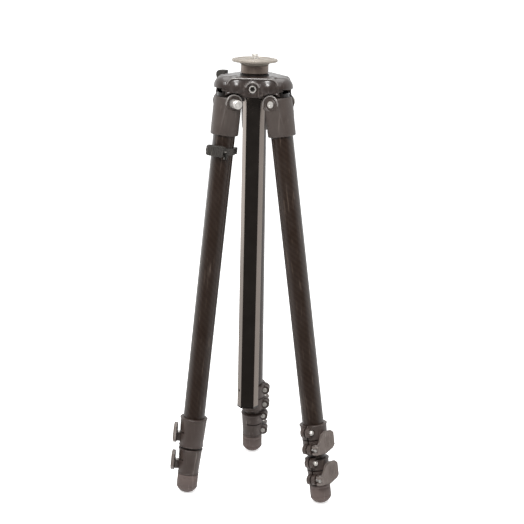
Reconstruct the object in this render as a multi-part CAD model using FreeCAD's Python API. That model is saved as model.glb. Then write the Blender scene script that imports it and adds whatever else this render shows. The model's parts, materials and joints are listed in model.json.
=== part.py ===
"""Three-section photographic tripod with a rising centre column, legs pushed together.

Frame: millimetres, +Z up, origin on the floor under the column's axis.
Each leg is built in a frame of its own: the hinge axis is Y, +X points away from the
column and the leg runs down along -Z. seat_leg() then tilts it and turns it into place.
"""
import FreeCAD, Part
import math
import os

Vec = FreeCAD.Vector

# ---- stance ----
HINGE_HEIGHT = 538.5        # leg hinge pin above the floor
HINGE_RADIUS = 38.5         # leg hinge pin from the column's axis
AZIMUTH = {"left": 210.0, "right": 330.0, "rear": 90.0}
SPLAY = {"left": 5.7, "right": 9.1, "rear": 9.1}

# ---- fits ----
RUNNING = 0.05              # radial clearance of a pin or tube that moves in its bore
SEATED = 0.02               # radial clearance of pieces that are fixed together
FREE = 0.4                  # gap between pieces that pass each other

# ---- leg tubes ----
TUBE_OD = {"upper": 29.2, "middle": 24.8, "lower": 20.4}
TUBE_WALL = 1.5
BUSH_LENGTH = 22.0

# ---- rubber foot ----
FOOT_OD = 28.4
FOOT_HEIGHT = 27.5
FOOT_BALL_RADIUS = 16.0     # radius of the rounded tread, centred on the leg's axis
FOOT_FLOOR = 7.0            # rubber under the lower tube

# ---- section locks ----
COLLAR_WALL = 3.6
COLLAR_TAPER = 2.1          # the radius lost from the top of a collar to its bottom
COLLAR_HEIGHT = {"upper": 41.0, "lower": 36.0}
COLLAR_GAP = 3.0            # between the two collars of a closed leg
LEVER_BOLT_RISE = 8.6       # lever bolt above the bottom of its collar
CLAMP_BOLT_RISE = 32.2      # clamp bolt above the bottom of its collar
SPLIT_RISE = 20.4           # cross cut between the two halves of a collar
SPLIT_WIDTH = 1.6
SPLIT_REACH = 7.7           # how far past the leg's axis the cross cut goes
SLIT_WIDTH = 2.2
EAR_HALF = 6.2              # half of the width over the two ears
EAR_BOSS_RADIUS = 6.8
BOLT_RADIUS = 2.0
BOLT_HEAD_RADIUS = 3.2
BOLT_HEAD_HEIGHT = 3.4
BOLT_WALL = 1.4             # metal between a bolt hole and the tube's bore
NUT_FLATS = 6.0
SPOT_CLEARANCE = 0.5        # round a nut or a bolt head in its seat
HEAD_SINK = 2.0             # depth of the seat of a bolt head
NUT_HEIGHT = 3.0

# ---- flip levers ----
LEVER_PIN_RADIUS = 1.6
LEVER_HUB_RADIUS = 5.6
LEVER_HUB_HALF = 6.0
LEVER_EYE_RADIUS = 3.0
LEVER_EYE_HALF = 2.5
LEVER_SWING = 112.0         # degrees that the lever's mouth leaves it to turn
MOUTH_REACH = 12.0          # from the lever's pin to past its hub
WING_ANGLE = 60.0           # direction of the wing from the +X side towards +Y
WING_THICKNESS = 4.6
WING_LENGTH = 26.0
WING_TOP = 24.0             # above the lever bolt
WING_FOOT = 1.0             # lower corner of the wing's free end, above the lever bolt
WING_CORNER = 3.0

# ---- leg sockets ----
SOCKET_RADIUS = TUBE_OD["upper"] / 2 + 3.9
SOCKET_LENGTH = 43.5        # below the hinge pin
SOCKET_HEAD = 8.0           # above the hinge pin
SOCKET_EDGE = 1.6
TUBE_TOP = 16.5             # top of the upper tube below the hinge pin
CHEEK_HALF = SOCKET_RADIUS + 0.5     # half of the width over the two hinge cheeks
CHEEK_BOSS_RADIUS = 10.5
CHEEK_FOOT = 13.0           # half width of a cheek where it runs out at the bottom
WEB_NOTCH_RADIUS = 13.6     # arch in a web round the hinge cheek
OUTER_WALL = 4.4            # wall that closes the fork on the outward side
LUG_HALF = 7.5              # half of the thickness of the lug between the cheeks
LUG_RADIUS = 12.8
LUG_STOP_WIDTH = 2.4        # of a notch in the lug's rim
LUG_STOP_DEPTH = 1.4
NECK_LEAN = (0.46, 0.88)    # where the neck leaves the lug, in lug radii in and up
NECK_FACE = 0.82            # outward face of the neck, in lug radii inward of the hinge
NECK_BACK = 1.7             # inward end of the neck, inside the casting's hub
LEG_STOPS = (10.0, 30.0, 50.0, 70.0)    # notches in the lug's rim, down from its top
HINGE_PIN_RADIUS = 4.0
HINGE_HEAD_RADIUS = 4.6
HINGE_HEAD_HEIGHT = 2.5
HINGE_HEAD_PROUD = 1.4      # how far the head stands off its cheek
BUTTON_RADIUS = 5.8
BUTTON_REACH = CHEEK_HALF + 14.5     # outer end of the button from the leg's axis
BUTTON_TRAVEL = 3.5
BUTTON_SEAT = 11.5          # inner end of the button's bore from the leg's axis
SPRING_WIRE = 0.5
SPRING_RADIUS = 2.9         # to the centre of the wire
SPRING_COILS = 5

# ---- shoulder casting ----
SHOULDER_TOP = HINGE_HEIGHT + 34.0
SHOULDER_BOTTOM = HINGE_HEIGHT + 8.5
HUB_RADIUS = 30.0
DOME_BOTTOM = HINGE_HEIGHT + 18.5
DOME_ROUND = 10.0
WEB_FACE = 38.5             # front of a web from the column's axis
WEB_HALF = 34.0
WEB_ROUND = 10.0            # rounding of a web's upper corners
WEB_RECESS = 2.6            # the hollow between the two swellings of a web
WEB_RECESS_HALF = 7.0
WEB_END_DROP = 2.8
BOLT_HEIGHT = HINGE_HEIGHT + 19.2    # column bolt and lock knob

# ---- column ----
COLUMN_LONG = 17.6          # long sides of its six-sided section
COLUMN_SHORT = 11.6
COLUMN_FACE = (COLUMN_LONG + 2 * COLUMN_SHORT) * math.sqrt(3) / 6     # of the long sides
COLUMN_CORNER = math.hypot(COLUMN_FACE, COLUMN_LONG / 2)
COLUMN_WALL = 1.6
COLUMN_BOTTOM = HINGE_HEIGHT - 426.3
COLUMN_HOLE_RADIUS = 1.75
COLUMN_HOLE_RISE = 24.6     # above the column's lower end
BUSH_WALL = 1.6
BUSH_FLANGE_RADIUS = COLUMN_CORNER + 4.5
BUSH_FLANGE_HEIGHT = 2.2
CAP_FLANGE = 2.4
CAP_DEPTH = 14.0

# ---- head plate ----
PLATE_TOP = SHOULDER_TOP + 21.9
PLATE_RADIUS = 30.0
PLATE_FLANGE = 4.2
PLATE_BOSS_RADIUS = 19.8
PLATE_BOSS_HEIGHT = 4.6
PLATE_GROOVE_RADIUS = 23.5
PLATE_GROOVE_WIDTH = 1.4
PLATE_GROOVE_DEPTH = 0.7
NECK_RADIUS = COLUMN_CORNER + 3.5
SCREW_RADIUS = 4.7625       # 3/8 inch camera thread
SCREW_SHANK_RADIUS = 4.0    # of its plain part, held in the plate
SCREW_RELIEF = 0.8          # from the plate to the first thread
SCREW_RISE = 6.2
SCREW_RECESS_CLEARANCE = 0.4     # round the thread, sunk in the plate's face
SCREW_RECESS_DEPTH = 0.8
SET_SCREW_RADIUS = 2.0
SET_SCREW_CIRCLE = 24.5     # radius of the circle of set screws
SET_SCREW_LENGTH = 4.0

# ---- column screws ----
FRONT_BOLT_HEAD_RADIUS = 4.8
FRONT_BOLT_HEAD = 4.0
FRONT_BOLT_RADIUS = 3.0
FRONT_BOLT_SOCKET = 6.0     # across the flats of its hexagon socket
KNOB_SCREW_RADIUS = 4.0
KNOB_HUB_RADIUS = 8.5
KNOB_LENGTH = 20.0
KNOB_WING = 17.5
KNOB_WING_THICKNESS = 8.0

# ---- tool clip on the left leg ----
CLIP_CENTRE = 64.0          # below the hinge pin
CLIP_HEIGHT = 9.0
CLIP_WALL = 2.2
CLIP_MOUTH = 70.0           # degrees left open
CLIP_MOUTH_AZIMUTH = 225.0
CLIP_LIP = 4.6
TAB_AZIMUTH = 37.0          # of the ribbed tab, from the leg's +X side towards +Y
TAB_LENGTH = 25.0
TAB_THICKNESS = 8.0
TAB_HEIGHT = 13.5
KEY_FLATS = 4.0
KEY_LENGTH = 29.0
KEY_ARM = 9.0


def tube_radius(section):
    return TUBE_OD[section] / 2


EAR_OFFSET = {"upper": tube_radius("upper") + BOLT_WALL + BOLT_RADIUS,
              "lower": tube_radius("middle") + BOLT_WALL + BOLT_RADIUS}
HUB_STAND = EAR_HALF + LEVER_HUB_RADIUS + FREE      # lever pin from the slit
CLOSED_LENGTH = ((HINGE_HEIGHT - FOOT_BALL_RADIUS)
                 / math.cos(math.radians(min(SPLAY.values()))) + FOOT_BALL_RADIUS)
FOOT_GAP = 0.5
COLLAR_BASE = {"lower": FOOT_HEIGHT + FOOT_GAP - CLOSED_LENGTH}
COLLAR_BASE["upper"] = COLLAR_BASE["lower"] + COLLAR_HEIGHT["lower"] + COLLAR_GAP


def draw_out(leg):
    """How far the leg's middle section is pulled out so that the foot meets the floor."""
    reach = (HINGE_HEIGHT - FOOT_BALL_RADIUS) / math.cos(math.radians(SPLAY[leg]))
    return reach + FOOT_BALL_RADIUS - CLOSED_LENGTH


# ---------------------------------------------------------------- solids

def cylinder(radius, start, end):
    run = end - start
    return Part.makeCylinder(radius, run.Length, start, run)


def upright(radius, low, high, x=0.0, y=0.0):
    return cylinder(radius, Vec(x, y, low), Vec(x, y, high))


def across(radius, low, high, x=0.0, z=0.0):
    """A cylinder along Y."""
    return cylinder(radius, Vec(x, low, z), Vec(x, high, z))


def along(radius, low, high, y=0.0, z=0.0):
    """A cylinder along X."""
    return cylinder(radius, Vec(low, y, z), Vec(high, y, z))


def block(x, y, z):
    corner = Vec(x[0], y[0], z[0])
    return Part.makeBox(x[1] - x[0], y[1] - y[0], z[1] - z[0], corner)


def face_of(points):
    return Part.Face(Part.makePolygon(points + points[:1]))


def prism(plan, low, high):
    """A flat outline in X and Y, raised from low to high."""
    return face_of([Vec(x, y, low) for x, y in plan]).extrude(Vec(0, 0, high - low))


def hexagon(flats):
    radius = flats / math.sqrt(3)
    return [(radius * math.cos(math.radians(60 * k)), radius * math.sin(math.radians(60 * k)))
            for k in range(6)]


def turned(profile):
    """A solid of revolution about Z. Profile points are (radius, z)."""
    return face_of([Vec(r, 0, z) for r, z in profile]).revolve(Vec(), Vec(0, 0, 1), 360)


def turn_z(shape, degrees):
    result = shape.copy()
    result.rotate(Vec(), Vec(0, 0, 1), degrees)
    return result


def moved(shape, x=0.0, y=0.0, z=0.0):
    result = shape.copy()
    result.translate(Vec(x, y, z))
    return result


def joined(shapes):
    return shapes[0].fuse(shapes[1:]).removeSplitter() if len(shapes) > 1 else shapes[0]


def seat_leg(shape, leg, drop=0.0):
    """Slide a piece down its leg by drop, tilt the leg and turn it to its azimuth."""
    result = moved(shape, z=-drop)
    result.rotate(Vec(), Vec(0, 1, 0), -SPLAY[leg])
    result.translate(Vec(HINGE_RADIUS, 0, HINGE_HEIGHT))
    result.rotate(Vec(), Vec(0, 0, 1), AZIMUTH[leg])
    return result


def column_plan(grow=0.0):
    """Six corners of the column's section, its faces moved out by grow."""
    side = COLUMN_LONG + 2 * COLUMN_SHORT
    long_face = COLUMN_FACE + grow
    short_face = side / math.sqrt(3) - COLUMN_SHORT * math.sqrt(3) / 2 + grow
    corners = []
    for k in range(6):
        first, second = (long_face, short_face) if k % 2 == 0 else (short_face, long_face)
        angle = math.radians(30 + 60 * k)
        # corner between the face at angle and the next one, 60 degrees on
        run = (second - first * math.cos(math.radians(60))) / math.sin(math.radians(60))
        corners.append((first * math.cos(angle) - run * math.sin(angle),
                        first * math.sin(angle) + run * math.cos(angle)))
    return corners


# ---------------------------------------------------------------- leg pieces

def leg_tube(section, low, high):
    outer = tube_radius(section)
    return upright(outer, low, high).cut(upright(outer - TUBE_WALL, low, high))


def slide_bush(section, outside, top):
    """Plastic ring on a tube's top end that guides it in the next larger tube."""
    outer = tube_radius(outside) - TUBE_WALL - RUNNING
    inner = tube_radius(section) + SEATED
    return upright(outer, top - BUSH_LENGTH, top).cut(
        upright(inner, top - BUSH_LENGTH, top))


def foot():
    low = -CLOSED_LENGTH
    ball = Part.makeSphere(FOOT_BALL_RADIUS, Vec(0, 0, low + FOOT_BALL_RADIUS))
    body = upright(FOOT_OD / 2, low, low + FOOT_HEIGHT)
    tread = body.common(ball.fuse(upright(FOOT_OD, low + FOOT_BALL_RADIUS, low + FOOT_HEIGHT)))
    bore = upright(tube_radius("lower") + SEATED, low + FOOT_FLOOR, low + FOOT_HEIGHT)
    return tread.cut(bore)


def lock_levels(lock):
    base = COLLAR_BASE[lock]
    return base + LEVER_BOLT_RISE, base + CLAMP_BOLT_RISE, base + SPLIT_RISE


def collar(lock):
    """Split collar: its upper half clamps the larger tube, its lower half the smaller one."""
    larger, smaller = ("upper", "middle") if lock == "upper" else ("middle", "lower")
    low = COLLAR_BASE[lock]
    high = low + COLLAR_HEIGHT[lock]
    lever_z, clamp_z, split_z = lock_levels(lock)
    top_radius = tube_radius(larger) + COLLAR_WALL
    offset = EAR_OFFSET[lock]
    body = Part.makeCone(top_radius - COLLAR_TAPER, top_radius, high - low, Vec(0, 0, low))
    pieces = [body]
    for level in (lever_z, clamp_z):
        pieces.append(along(EAR_BOSS_RADIUS, -EAR_HALF, EAR_HALF, -offset, level))
        pieces.append(block((-EAR_HALF, EAR_HALF), (-offset, 0),
                            (level - EAR_BOSS_RADIUS, level + EAR_BOSS_RADIUS)))
    solid = joined(pieces)
    solid = solid.cut(upright(tube_radius(larger) + SEATED, split_z, high + 20))
    solid = solid.cut(upright(tube_radius(smaller) + RUNNING, low - 20, split_z))
    reach = offset + EAR_BOSS_RADIUS + 1
    solid = solid.cut(block((-SLIT_WIDTH / 2, SLIT_WIDTH / 2), (-reach, 0),
                            (low - 20, high + 20)))
    solid = solid.cut(block((-30, 30), (-reach, SPLIT_REACH),
                            (split_z - SPLIT_WIDTH / 2, split_z + SPLIT_WIDTH / 2)))
    for level in (lever_z, clamp_z):
        solid = solid.cut(along(BOLT_RADIUS + SEATED, -20, 20, -offset, level))
        solid = solid.cut(along(BOLT_HEAD_RADIUS + SPOT_CLEARANCE, -20, HEAD_SINK - EAR_HALF,
                                -offset, level))
    solid = solid.cut(along(NUT_FLATS / math.sqrt(3) + SPOT_CLEARANCE, EAR_HALF, 30,
                            -offset, clamp_z))
    return solid.cut(upright(LEVER_HUB_RADIUS + FREE, lever_z - LEVER_HUB_HALF - FREE,
                             lever_z + LEVER_HUB_HALF + FREE, HUB_STAND, -offset))


def bolt_shank(offset, level, tip):
    seat = HEAD_SINK - EAR_HALF
    return joined([along(BOLT_HEAD_RADIUS, seat - BOLT_HEAD_HEIGHT, seat, -offset, level),
                   along(BOLT_RADIUS, seat, tip, -offset, level)])


def lock_bolts(lock):
    """Clamp bolt and nut, lever bolt with its eye, and the lever's pin, as separate solids."""
    lever_z, clamp_z, _ = lock_levels(lock)
    offset = EAR_OFFSET[lock]
    clamp_bolt = bolt_shank(offset, clamp_z, EAR_HALF + NUT_HEIGHT)
    nut = prism(hexagon(NUT_FLATS), 0, NUT_HEIGHT)
    nut.rotate(Vec(), Vec(0, 1, 0), 90)
    nut = moved(nut, EAR_HALF, -offset, clamp_z)
    nut = nut.cut(along(BOLT_RADIUS + SEATED, 0, 20, -offset, clamp_z))
    lever_bolt = joined([
        bolt_shank(offset, lever_z, HUB_STAND),
        upright(LEVER_EYE_RADIUS, lever_z - LEVER_EYE_HALF, lever_z + LEVER_EYE_HALF,
                HUB_STAND, -offset)])
    pin_bore = upright(LEVER_PIN_RADIUS + SEATED, lever_z - 10, lever_z + 10,
                       HUB_STAND, -offset)
    pin = upright(LEVER_PIN_RADIUS, lever_z - LEVER_HUB_HALF, lever_z + LEVER_HUB_HALF,
                  HUB_STAND, -offset)
    return Part.makeCompound([clamp_bolt, nut, lever_bolt.cut(pin_bore), pin])


def flip_lever(lock):
    """Cam hub on the lever pin, with a fan-shaped wing that stands off the collar."""
    lever_z, _, _ = lock_levels(lock)
    hub_x, hub_y = HUB_STAND, -EAR_OFFSET[lock]
    hub = upright(LEVER_HUB_RADIUS, lever_z - LEVER_HUB_HALF, lever_z + LEVER_HUB_HALF,
                  hub_x, hub_y)
    corner = WING_CORNER
    outline = [(0, -LEVER_HUB_HALF), (WING_LENGTH * 0.45, -LEVER_HUB_HALF),
               (WING_LENGTH - corner, WING_FOOT - 1.0), (WING_LENGTH, WING_FOOT + corner),
               (WING_LENGTH, WING_TOP - corner), (WING_LENGTH - corner, WING_TOP),
               (WING_LENGTH * 0.52, WING_TOP), (WING_LENGTH * 0.3, WING_TOP - 3.6),
               (WING_LENGTH * 0.14, LEVER_HUB_HALF + 4.0), (0, LEVER_HUB_HALF)]
    wing = face_of([Vec(p, 0, lever_z + q) for p, q in outline]).extrude(
        Vec(0, -WING_THICKNESS, 0))
    wing.rotate(Vec(), Vec(0, 0, 1), WING_ANGLE)
    # the wing's outer face is tangent to the hub
    normal = math.radians(WING_ANGLE - 90)
    inner = LEVER_HUB_RADIUS - WING_THICKNESS
    wing = moved(wing, hub_x + inner * math.cos(normal), hub_y + inner * math.sin(normal))
    solid = joined([hub, wing])
    # mouth for the eye of the lever bolt, and for its shank wherever the lever stands
    half = LEVER_EYE_HALF + FREE
    shank = BOLT_RADIUS + FREE
    bounds = [math.radians(180 + LEVER_SWING * k / 6) for k in range(7)]
    sweep = [(0, 0)] + [(MOUTH_REACH * math.cos(a), MOUTH_REACH * math.sin(a)) for a in bounds]
    strip = block((-MOUTH_REACH, 0), (-shank, shank), (-half, half))
    mouth = joined([upright(LEVER_EYE_RADIUS + FREE, -half, half), prism(sweep, -half, half),
                    strip, turn_z(strip, LEVER_SWING)])
    solid = solid.cut(moved(mouth, hub_x, hub_y, lever_z))
    return solid.cut(upright(LEVER_PIN_RADIUS + RUNNING, lever_z - 20, lever_z + 20,
                             hub_x, hub_y))


def socket():
    """Casting that holds the upper tube and forks round the shoulder's lug."""
    body = upright(SOCKET_RADIUS, -SOCKET_LENGTH, SOCKET_HEAD)
    body = body.common(turned([
        (0, -SOCKET_LENGTH), (SOCKET_RADIUS - SOCKET_EDGE, -SOCKET_LENGTH),
        (SOCKET_RADIUS, -SOCKET_LENGTH + SOCKET_EDGE),
        (SOCKET_RADIUS, SOCKET_HEAD - SOCKET_EDGE),
        (SOCKET_RADIUS - SOCKET_EDGE, SOCKET_HEAD), (0, SOCKET_HEAD)]))
    boss = across(CHEEK_BOSS_RADIUS, -CHEEK_HALF, CHEEK_HALF)
    run_out = SOCKET_LENGTH - 4.0
    cheek_plan = [Vec(-CHEEK_BOSS_RADIUS, -CHEEK_HALF, 0), Vec(CHEEK_BOSS_RADIUS, -CHEEK_HALF, 0),
                  Vec(CHEEK_FOOT, -CHEEK_HALF, -run_out), Vec(-CHEEK_FOOT, -CHEEK_HALF, -run_out)]
    cheeks = face_of(cheek_plan).extrude(Vec(0, 2 * CHEEK_HALF, 0))
    shaved = cheeks.common(turned([
        (0, -run_out), (SOCKET_RADIUS, -run_out), (math.hypot(CHEEK_HALF, CHEEK_BOSS_RADIUS), -4),
        (math.hypot(CHEEK_HALF, CHEEK_BOSS_RADIUS), 0), (0, 0)]))
    solid = joined([body, boss, shaved])
    slot = LUG_HALF + FREE
    floor_z = -LUG_RADIUS - 1.1
    wall_x = SOCKET_RADIUS - OUTER_WALL
    solid = solid.cut(block((-40, wall_x), (-slot, slot), (floor_z, 40)))
    solid = solid.cut(upright(tube_radius("upper") + SEATED, -SOCKET_LENGTH - 1, -TUBE_TOP))
    solid = solid.cut(upright(tube_radius("upper") - 3, -TUBE_TOP - 1, -TUBE_TOP + 1.2))
    solid = solid.cut(across(HINGE_PIN_RADIUS + SEATED, -30, BUTTON_SEAT))
    solid = solid.cut(across(HINGE_HEAD_RADIUS + SEATED, -30, -CHEEK_HALF + HINGE_HEAD_HEIGHT))
    return solid.cut(across(BUTTON_RADIUS + RUNNING, BUTTON_SEAT, 30))


def hinge_pin():
    head_end = -CHEEK_HALF + HINGE_HEAD_HEIGHT
    shank = across(HINGE_PIN_RADIUS, head_end, BUTTON_SEAT)
    head = across(HINGE_HEAD_RADIUS, -CHEEK_HALF - HINGE_HEAD_PROUD, head_end)
    return joined([shank, head])


def release_button():
    """Push button in line with the hinge pin, hollow round its spring."""
    inner = BUTTON_SEAT + BUTTON_TRAVEL + 0.3
    body = across(BUTTON_RADIUS, inner, BUTTON_REACH)
    solid_end = [e for e in body.Edges if abs(e.BoundBox.YMin - BUTTON_REACH) < 0.01
                 and e.Length > BUTTON_RADIUS]
    body = body.makeFillet(1.2, solid_end)
    hollow = across(SPRING_RADIUS + 1.0, inner, inner + 8.0)
    return body.cut(hollow)


def button_spring():
    """Coil spring at its pressed length, one ring for each coil."""
    pitch = 2 * SPRING_WIRE + 0.1
    rings = [Part.makeTorus(SPRING_RADIUS, SPRING_WIRE,
                            Vec(0, BUTTON_SEAT + SPRING_WIRE + 0.1 + k * pitch, 0), Vec(0, 1, 0))
             for k in range(SPRING_COILS)]
    return Part.makeCompound(rings)


def tool_clip():
    """Spring ring round the upper tube, with a tab that holds the hexagon key."""
    inner = tube_radius("upper") + SEATED
    outer = inner + CLIP_WALL
    low = -CLIP_CENTRE - CLIP_HEIGHT / 2
    high = low + CLIP_HEIGHT
    reach = outer * 2
    half = math.radians(CLIP_MOUTH / 2)
    mouth = prism([(0, 0), (reach * math.cos(half), -reach * math.sin(half)),
                   (reach * math.cos(half), reach * math.sin(half))], low, high)
    ring = upright(outer, low, high).cut(turn_z(mouth, CLIP_MOUTH_AZIMUTH))
    tab = block((inner, inner + TAB_THICKNESS), (-TAB_LENGTH / 2, TAB_LENGTH / 2),
                (-CLIP_CENTRE - TAB_HEIGHT / 2, -CLIP_CENTRE + TAB_HEIGHT / 2))
    ends = [e for e in tab.Edges if abs(e.BoundBox.XLength - TAB_THICKNESS) < 0.01]
    tab = tab.makeFillet(2.5, ends)
    lips = [turn_z(block((inner, outer + CLIP_LIP), (-1.7, 1.7), (low, high)),
                   CLIP_MOUTH_AZIMUTH + side * (CLIP_MOUTH / 2 + 7)) for side in (-1, 1)]
    solid = joined([ring, turn_z(tab, TAB_AZIMUTH)] + lips)
    solid = solid.cut(upright(inner, low - 10, high + 10))
    return solid.cut(turn_z(key_bar(KEY_FLATS + 2 * RUNNING, TAB_LENGTH, TAB_LENGTH),
                            TAB_AZIMUTH))


def key_bar(flats, below, above):
    """Hexagon bar along the tab, before it is turned to the tab's azimuth."""
    bar = prism(hexagon(flats), -below, above)
    bar.rotate(Vec(), Vec(1, 0, 0), -90)
    stand = tube_radius("upper") + SEATED + TAB_THICKNESS - KEY_FLATS / 2 - 1.5
    return moved(bar, stand, 0, -CLIP_CENTRE)


def leg_tool():
    """Bent hexagon key, its long arm through the tab and its short arm hanging down."""
    end = TAB_LENGTH / 2 + KEY_FLATS / 2 + 0.6
    bar = key_bar(KEY_FLATS, KEY_LENGTH - end, end)
    stand = bar.BoundBox.Center.x
    arm = moved(prism(hexagon(KEY_FLATS), -CLIP_CENTRE - KEY_ARM, -CLIP_CENTRE), stand, end)
    elbow = Part.makeSphere(KEY_FLATS / 2, Vec(stand, end, -CLIP_CENTRE))
    return turn_z(joined([bar, arm, elbow]), TAB_AZIMUTH)


def leg_pieces():
    """Every piece of one leg, as (name, section that carries it, solid)."""
    _, _, upper_split = lock_levels("upper")
    _, _, lower_split = lock_levels("lower")
    seat = SPLIT_WIDTH / 2 + 0.2
    middle_top = -TUBE_TOP - 4.0
    lower_top = middle_top - 4.0
    foot_floor = -CLOSED_LENGTH + FOOT_FLOOR
    return [
        ("socket", "upper", socket()),
        ("hinge_pin", "upper", hinge_pin()),
        ("release_button", "upper", release_button()),
        ("button_spring", "upper", button_spring()),
        ("upper_tube", "upper", leg_tube("upper", upper_split + seat, -TUBE_TOP)),
        ("upper_collar", "upper", collar("upper")),
        ("upper_bolts", "upper", lock_bolts("upper")),
        ("upper_lever", "upper", flip_lever("upper")),
        ("middle_tube", "middle", leg_tube("middle", lower_split + seat, middle_top)),
        ("middle_bush", "middle", slide_bush("middle", "upper", middle_top)),
        ("lower_collar", "middle", collar("lower")),
        ("lower_bolts", "middle", lock_bolts("lower")),
        ("lower_lever", "middle", flip_lever("lower")),
        ("lower_tube", "lower", leg_tube("lower", foot_floor, lower_top)),
        ("lower_bush", "lower", slide_bush("lower", "middle", lower_top)),
        ("foot", "lower", foot()),
    ]


# ---------------------------------------------------------------- shoulder and column

def shoulder_web():
    """The wall between two legs, facing +X: two swellings with a hollow between them."""
    face, half = WEB_FACE, WEB_HALF
    plan = []
    for side in (-1, 1):
        points = [Vec(face - WEB_RECESS, side * WEB_RECESS_HALF, 0),
                  Vec(face, side * (WEB_RECESS_HALF + half) / 2, 0),
                  Vec(face - WEB_END_DROP, side * half, 0)]
        plan.append(Part.Arc(*points).toShape())
    low_end = Vec(face - WEB_END_DROP, -half, 0)
    high_end = Vec(face - WEB_END_DROP, half, 0)
    inner_low, inner_high = Vec(12, -half * 0.55, 0), Vec(12, half * 0.55, 0)
    recess_low = Vec(face - WEB_RECESS, -WEB_RECESS_HALF, 0)
    recess_high = Vec(face - WEB_RECESS, WEB_RECESS_HALF, 0)
    plan += [Part.makeLine(recess_low, recess_high), Part.makeLine(high_end, inner_high),
             Part.makeLine(inner_high, inner_low), Part.makeLine(inner_low, low_end)]
    outline = Part.Face(Part.Wire(Part.__sortEdges__(plan)))
    depth = SHOULDER_TOP - SHOULDER_BOTTOM
    wall = moved(outline.extrude(Vec(0, 0, depth)), z=SHOULDER_BOTTOM)
    low, top, round_ = SHOULDER_BOTTOM, SHOULDER_TOP, WEB_ROUND
    bend = round_ * (1 - math.sqrt(0.5))
    front = [Part.makeLine(Vec(0, -half, low), Vec(0, half, low)),
             Part.makeLine(Vec(0, half, low), Vec(0, half, top - round_)),
             Part.Arc(Vec(0, half, top - round_), Vec(0, half - bend, top - bend),
                      Vec(0, half - round_, top)).toShape(),
             Part.makeLine(Vec(0, half - round_, top), Vec(0, round_ - half, top)),
             Part.Arc(Vec(0, round_ - half, top), Vec(0, bend - half, top - bend),
                      Vec(0, -half, top - round_)).toShape(),
             Part.makeLine(Vec(0, -half, top - round_), Vec(0, -half, low))]
    shield = Part.Face(Part.Wire(front)).extrude(Vec(face + 5, 0, 0))
    return wall.common(shield)


def shoulder_dome():
    """Cap over a leg's head, centred on the hinge."""
    radius, low, high, bend = SOCKET_RADIUS, DOME_BOTTOM, SHOULDER_TOP, DOME_ROUND
    soft = bend * (1 - math.sqrt(0.5))
    profile = [Part.makeLine(Vec(0, 0, low), Vec(radius, 0, low)),
               Part.makeLine(Vec(radius, 0, low), Vec(radius, 0, high - bend)),
               Part.Arc(Vec(radius, 0, high - bend), Vec(radius - soft, 0, high - soft),
                        Vec(radius - bend, 0, high)).toShape(),
               Part.makeLine(Vec(radius - bend, 0, high), Vec(0, 0, high)),
               Part.makeLine(Vec(0, 0, high), Vec(0, 0, low))]
    solid = Part.Face(Part.Wire(profile)).revolve(Vec(), Vec(0, 0, 1), 360)
    return moved(solid, x=HINGE_RADIUS)


def shoulder_pocket():
    """Room for a leg's head to swing in, with its cheeks."""
    swing = math.hypot(SOCKET_RADIUS, SOCKET_HEAD) + 0.8
    room = Part.makeSphere(swing, Vec(HINGE_RADIUS, 0, HINGE_HEIGHT))
    cheeks = across(WEB_NOTCH_RADIUS, -1.6 * CHEEK_HALF, 1.6 * CHEEK_HALF,
                    HINGE_RADIUS, HINGE_HEIGHT)
    return room.fuse(cheeks)


def shoulder_lug():
    """Round lug on the hinge pin, held by a neck on its inward side only.

    A leg's outer wall swings through the space above the lug.
    """
    disc = across(LUG_RADIUS, -LUG_HALF, LUG_HALF)
    lift = SHOULDER_BOTTOM - HINGE_HEIGHT
    top = SHOULDER_TOP - DOME_ROUND - HINGE_HEIGHT
    leave = (-NECK_LEAN[0] * LUG_RADIUS, NECK_LEAN[1] * LUG_RADIUS)
    front, back = -NECK_FACE * LUG_RADIUS, -NECK_BACK * LUG_RADIUS
    side = [(0, 0), leave, (front, top - 2), (front, top), (back, top), (back, lift),
            (-LUG_RADIUS, 0)]
    neck = face_of([Vec(x, -LUG_HALF, z) for x, z in side]).extrude(Vec(0, 2 * LUG_HALF, 0))
    lug = joined([disc, neck])
    for angle in LEG_STOPS:
        notch = block((LUG_RADIUS - LUG_STOP_DEPTH, LUG_RADIUS + 2),
                      (-LUG_HALF - 1, LUG_HALF + 1),
                      (-LUG_STOP_WIDTH / 2, LUG_STOP_WIDTH / 2))
        notch.rotate(Vec(), Vec(0, 1, 0), angle - 90)
        lug = lug.cut(notch)
    return moved(lug, HINGE_RADIUS, 0, HINGE_HEIGHT)


def shoulder():
    """The casting that carries the legs and the column."""
    parts = [upright(HUB_RADIUS, SHOULDER_BOTTOM, SHOULDER_TOP)]
    parts += [turn_z(shoulder_web(), azimuth + 60) for azimuth in AZIMUTH.values()]
    parts += [turn_z(shoulder_dome(), azimuth) for azimuth in AZIMUTH.values()]
    solid = joined(parts)
    for azimuth in AZIMUTH.values():
        solid = solid.cut(turn_z(shoulder_pocket(), azimuth))
    solid = joined([solid] + [turn_z(shoulder_lug(), azimuth) for azimuth in AZIMUTH.values()])
    for azimuth in AZIMUTH.values():
        pin = across(HINGE_PIN_RADIUS + RUNNING, -30, 30, HINGE_RADIUS, HINGE_HEIGHT)
        solid = solid.cut(turn_z(pin, azimuth))
    hole = prism(column_plan(BUSH_WALL + RUNNING + SEATED), SHOULDER_BOTTOM - 30, SHOULDER_TOP + 1)
    solid = solid.cut(hole)
    front = along(FRONT_BOLT_RADIUS + SEATED, 10, 60, 0, BOLT_HEIGHT).fuse(
        along(FRONT_BOLT_HEAD_RADIUS + 0.3, WEB_FACE - WEB_RECESS - FRONT_BOLT_HEAD + 1, 60,
              0, BOLT_HEIGHT))
    solid = solid.cut(turn_z(front, 270))
    return solid.cut(turn_z(along(KNOB_SCREW_RADIUS + RUNNING, 10, 60, 0, BOLT_HEIGHT), 150))


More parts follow.
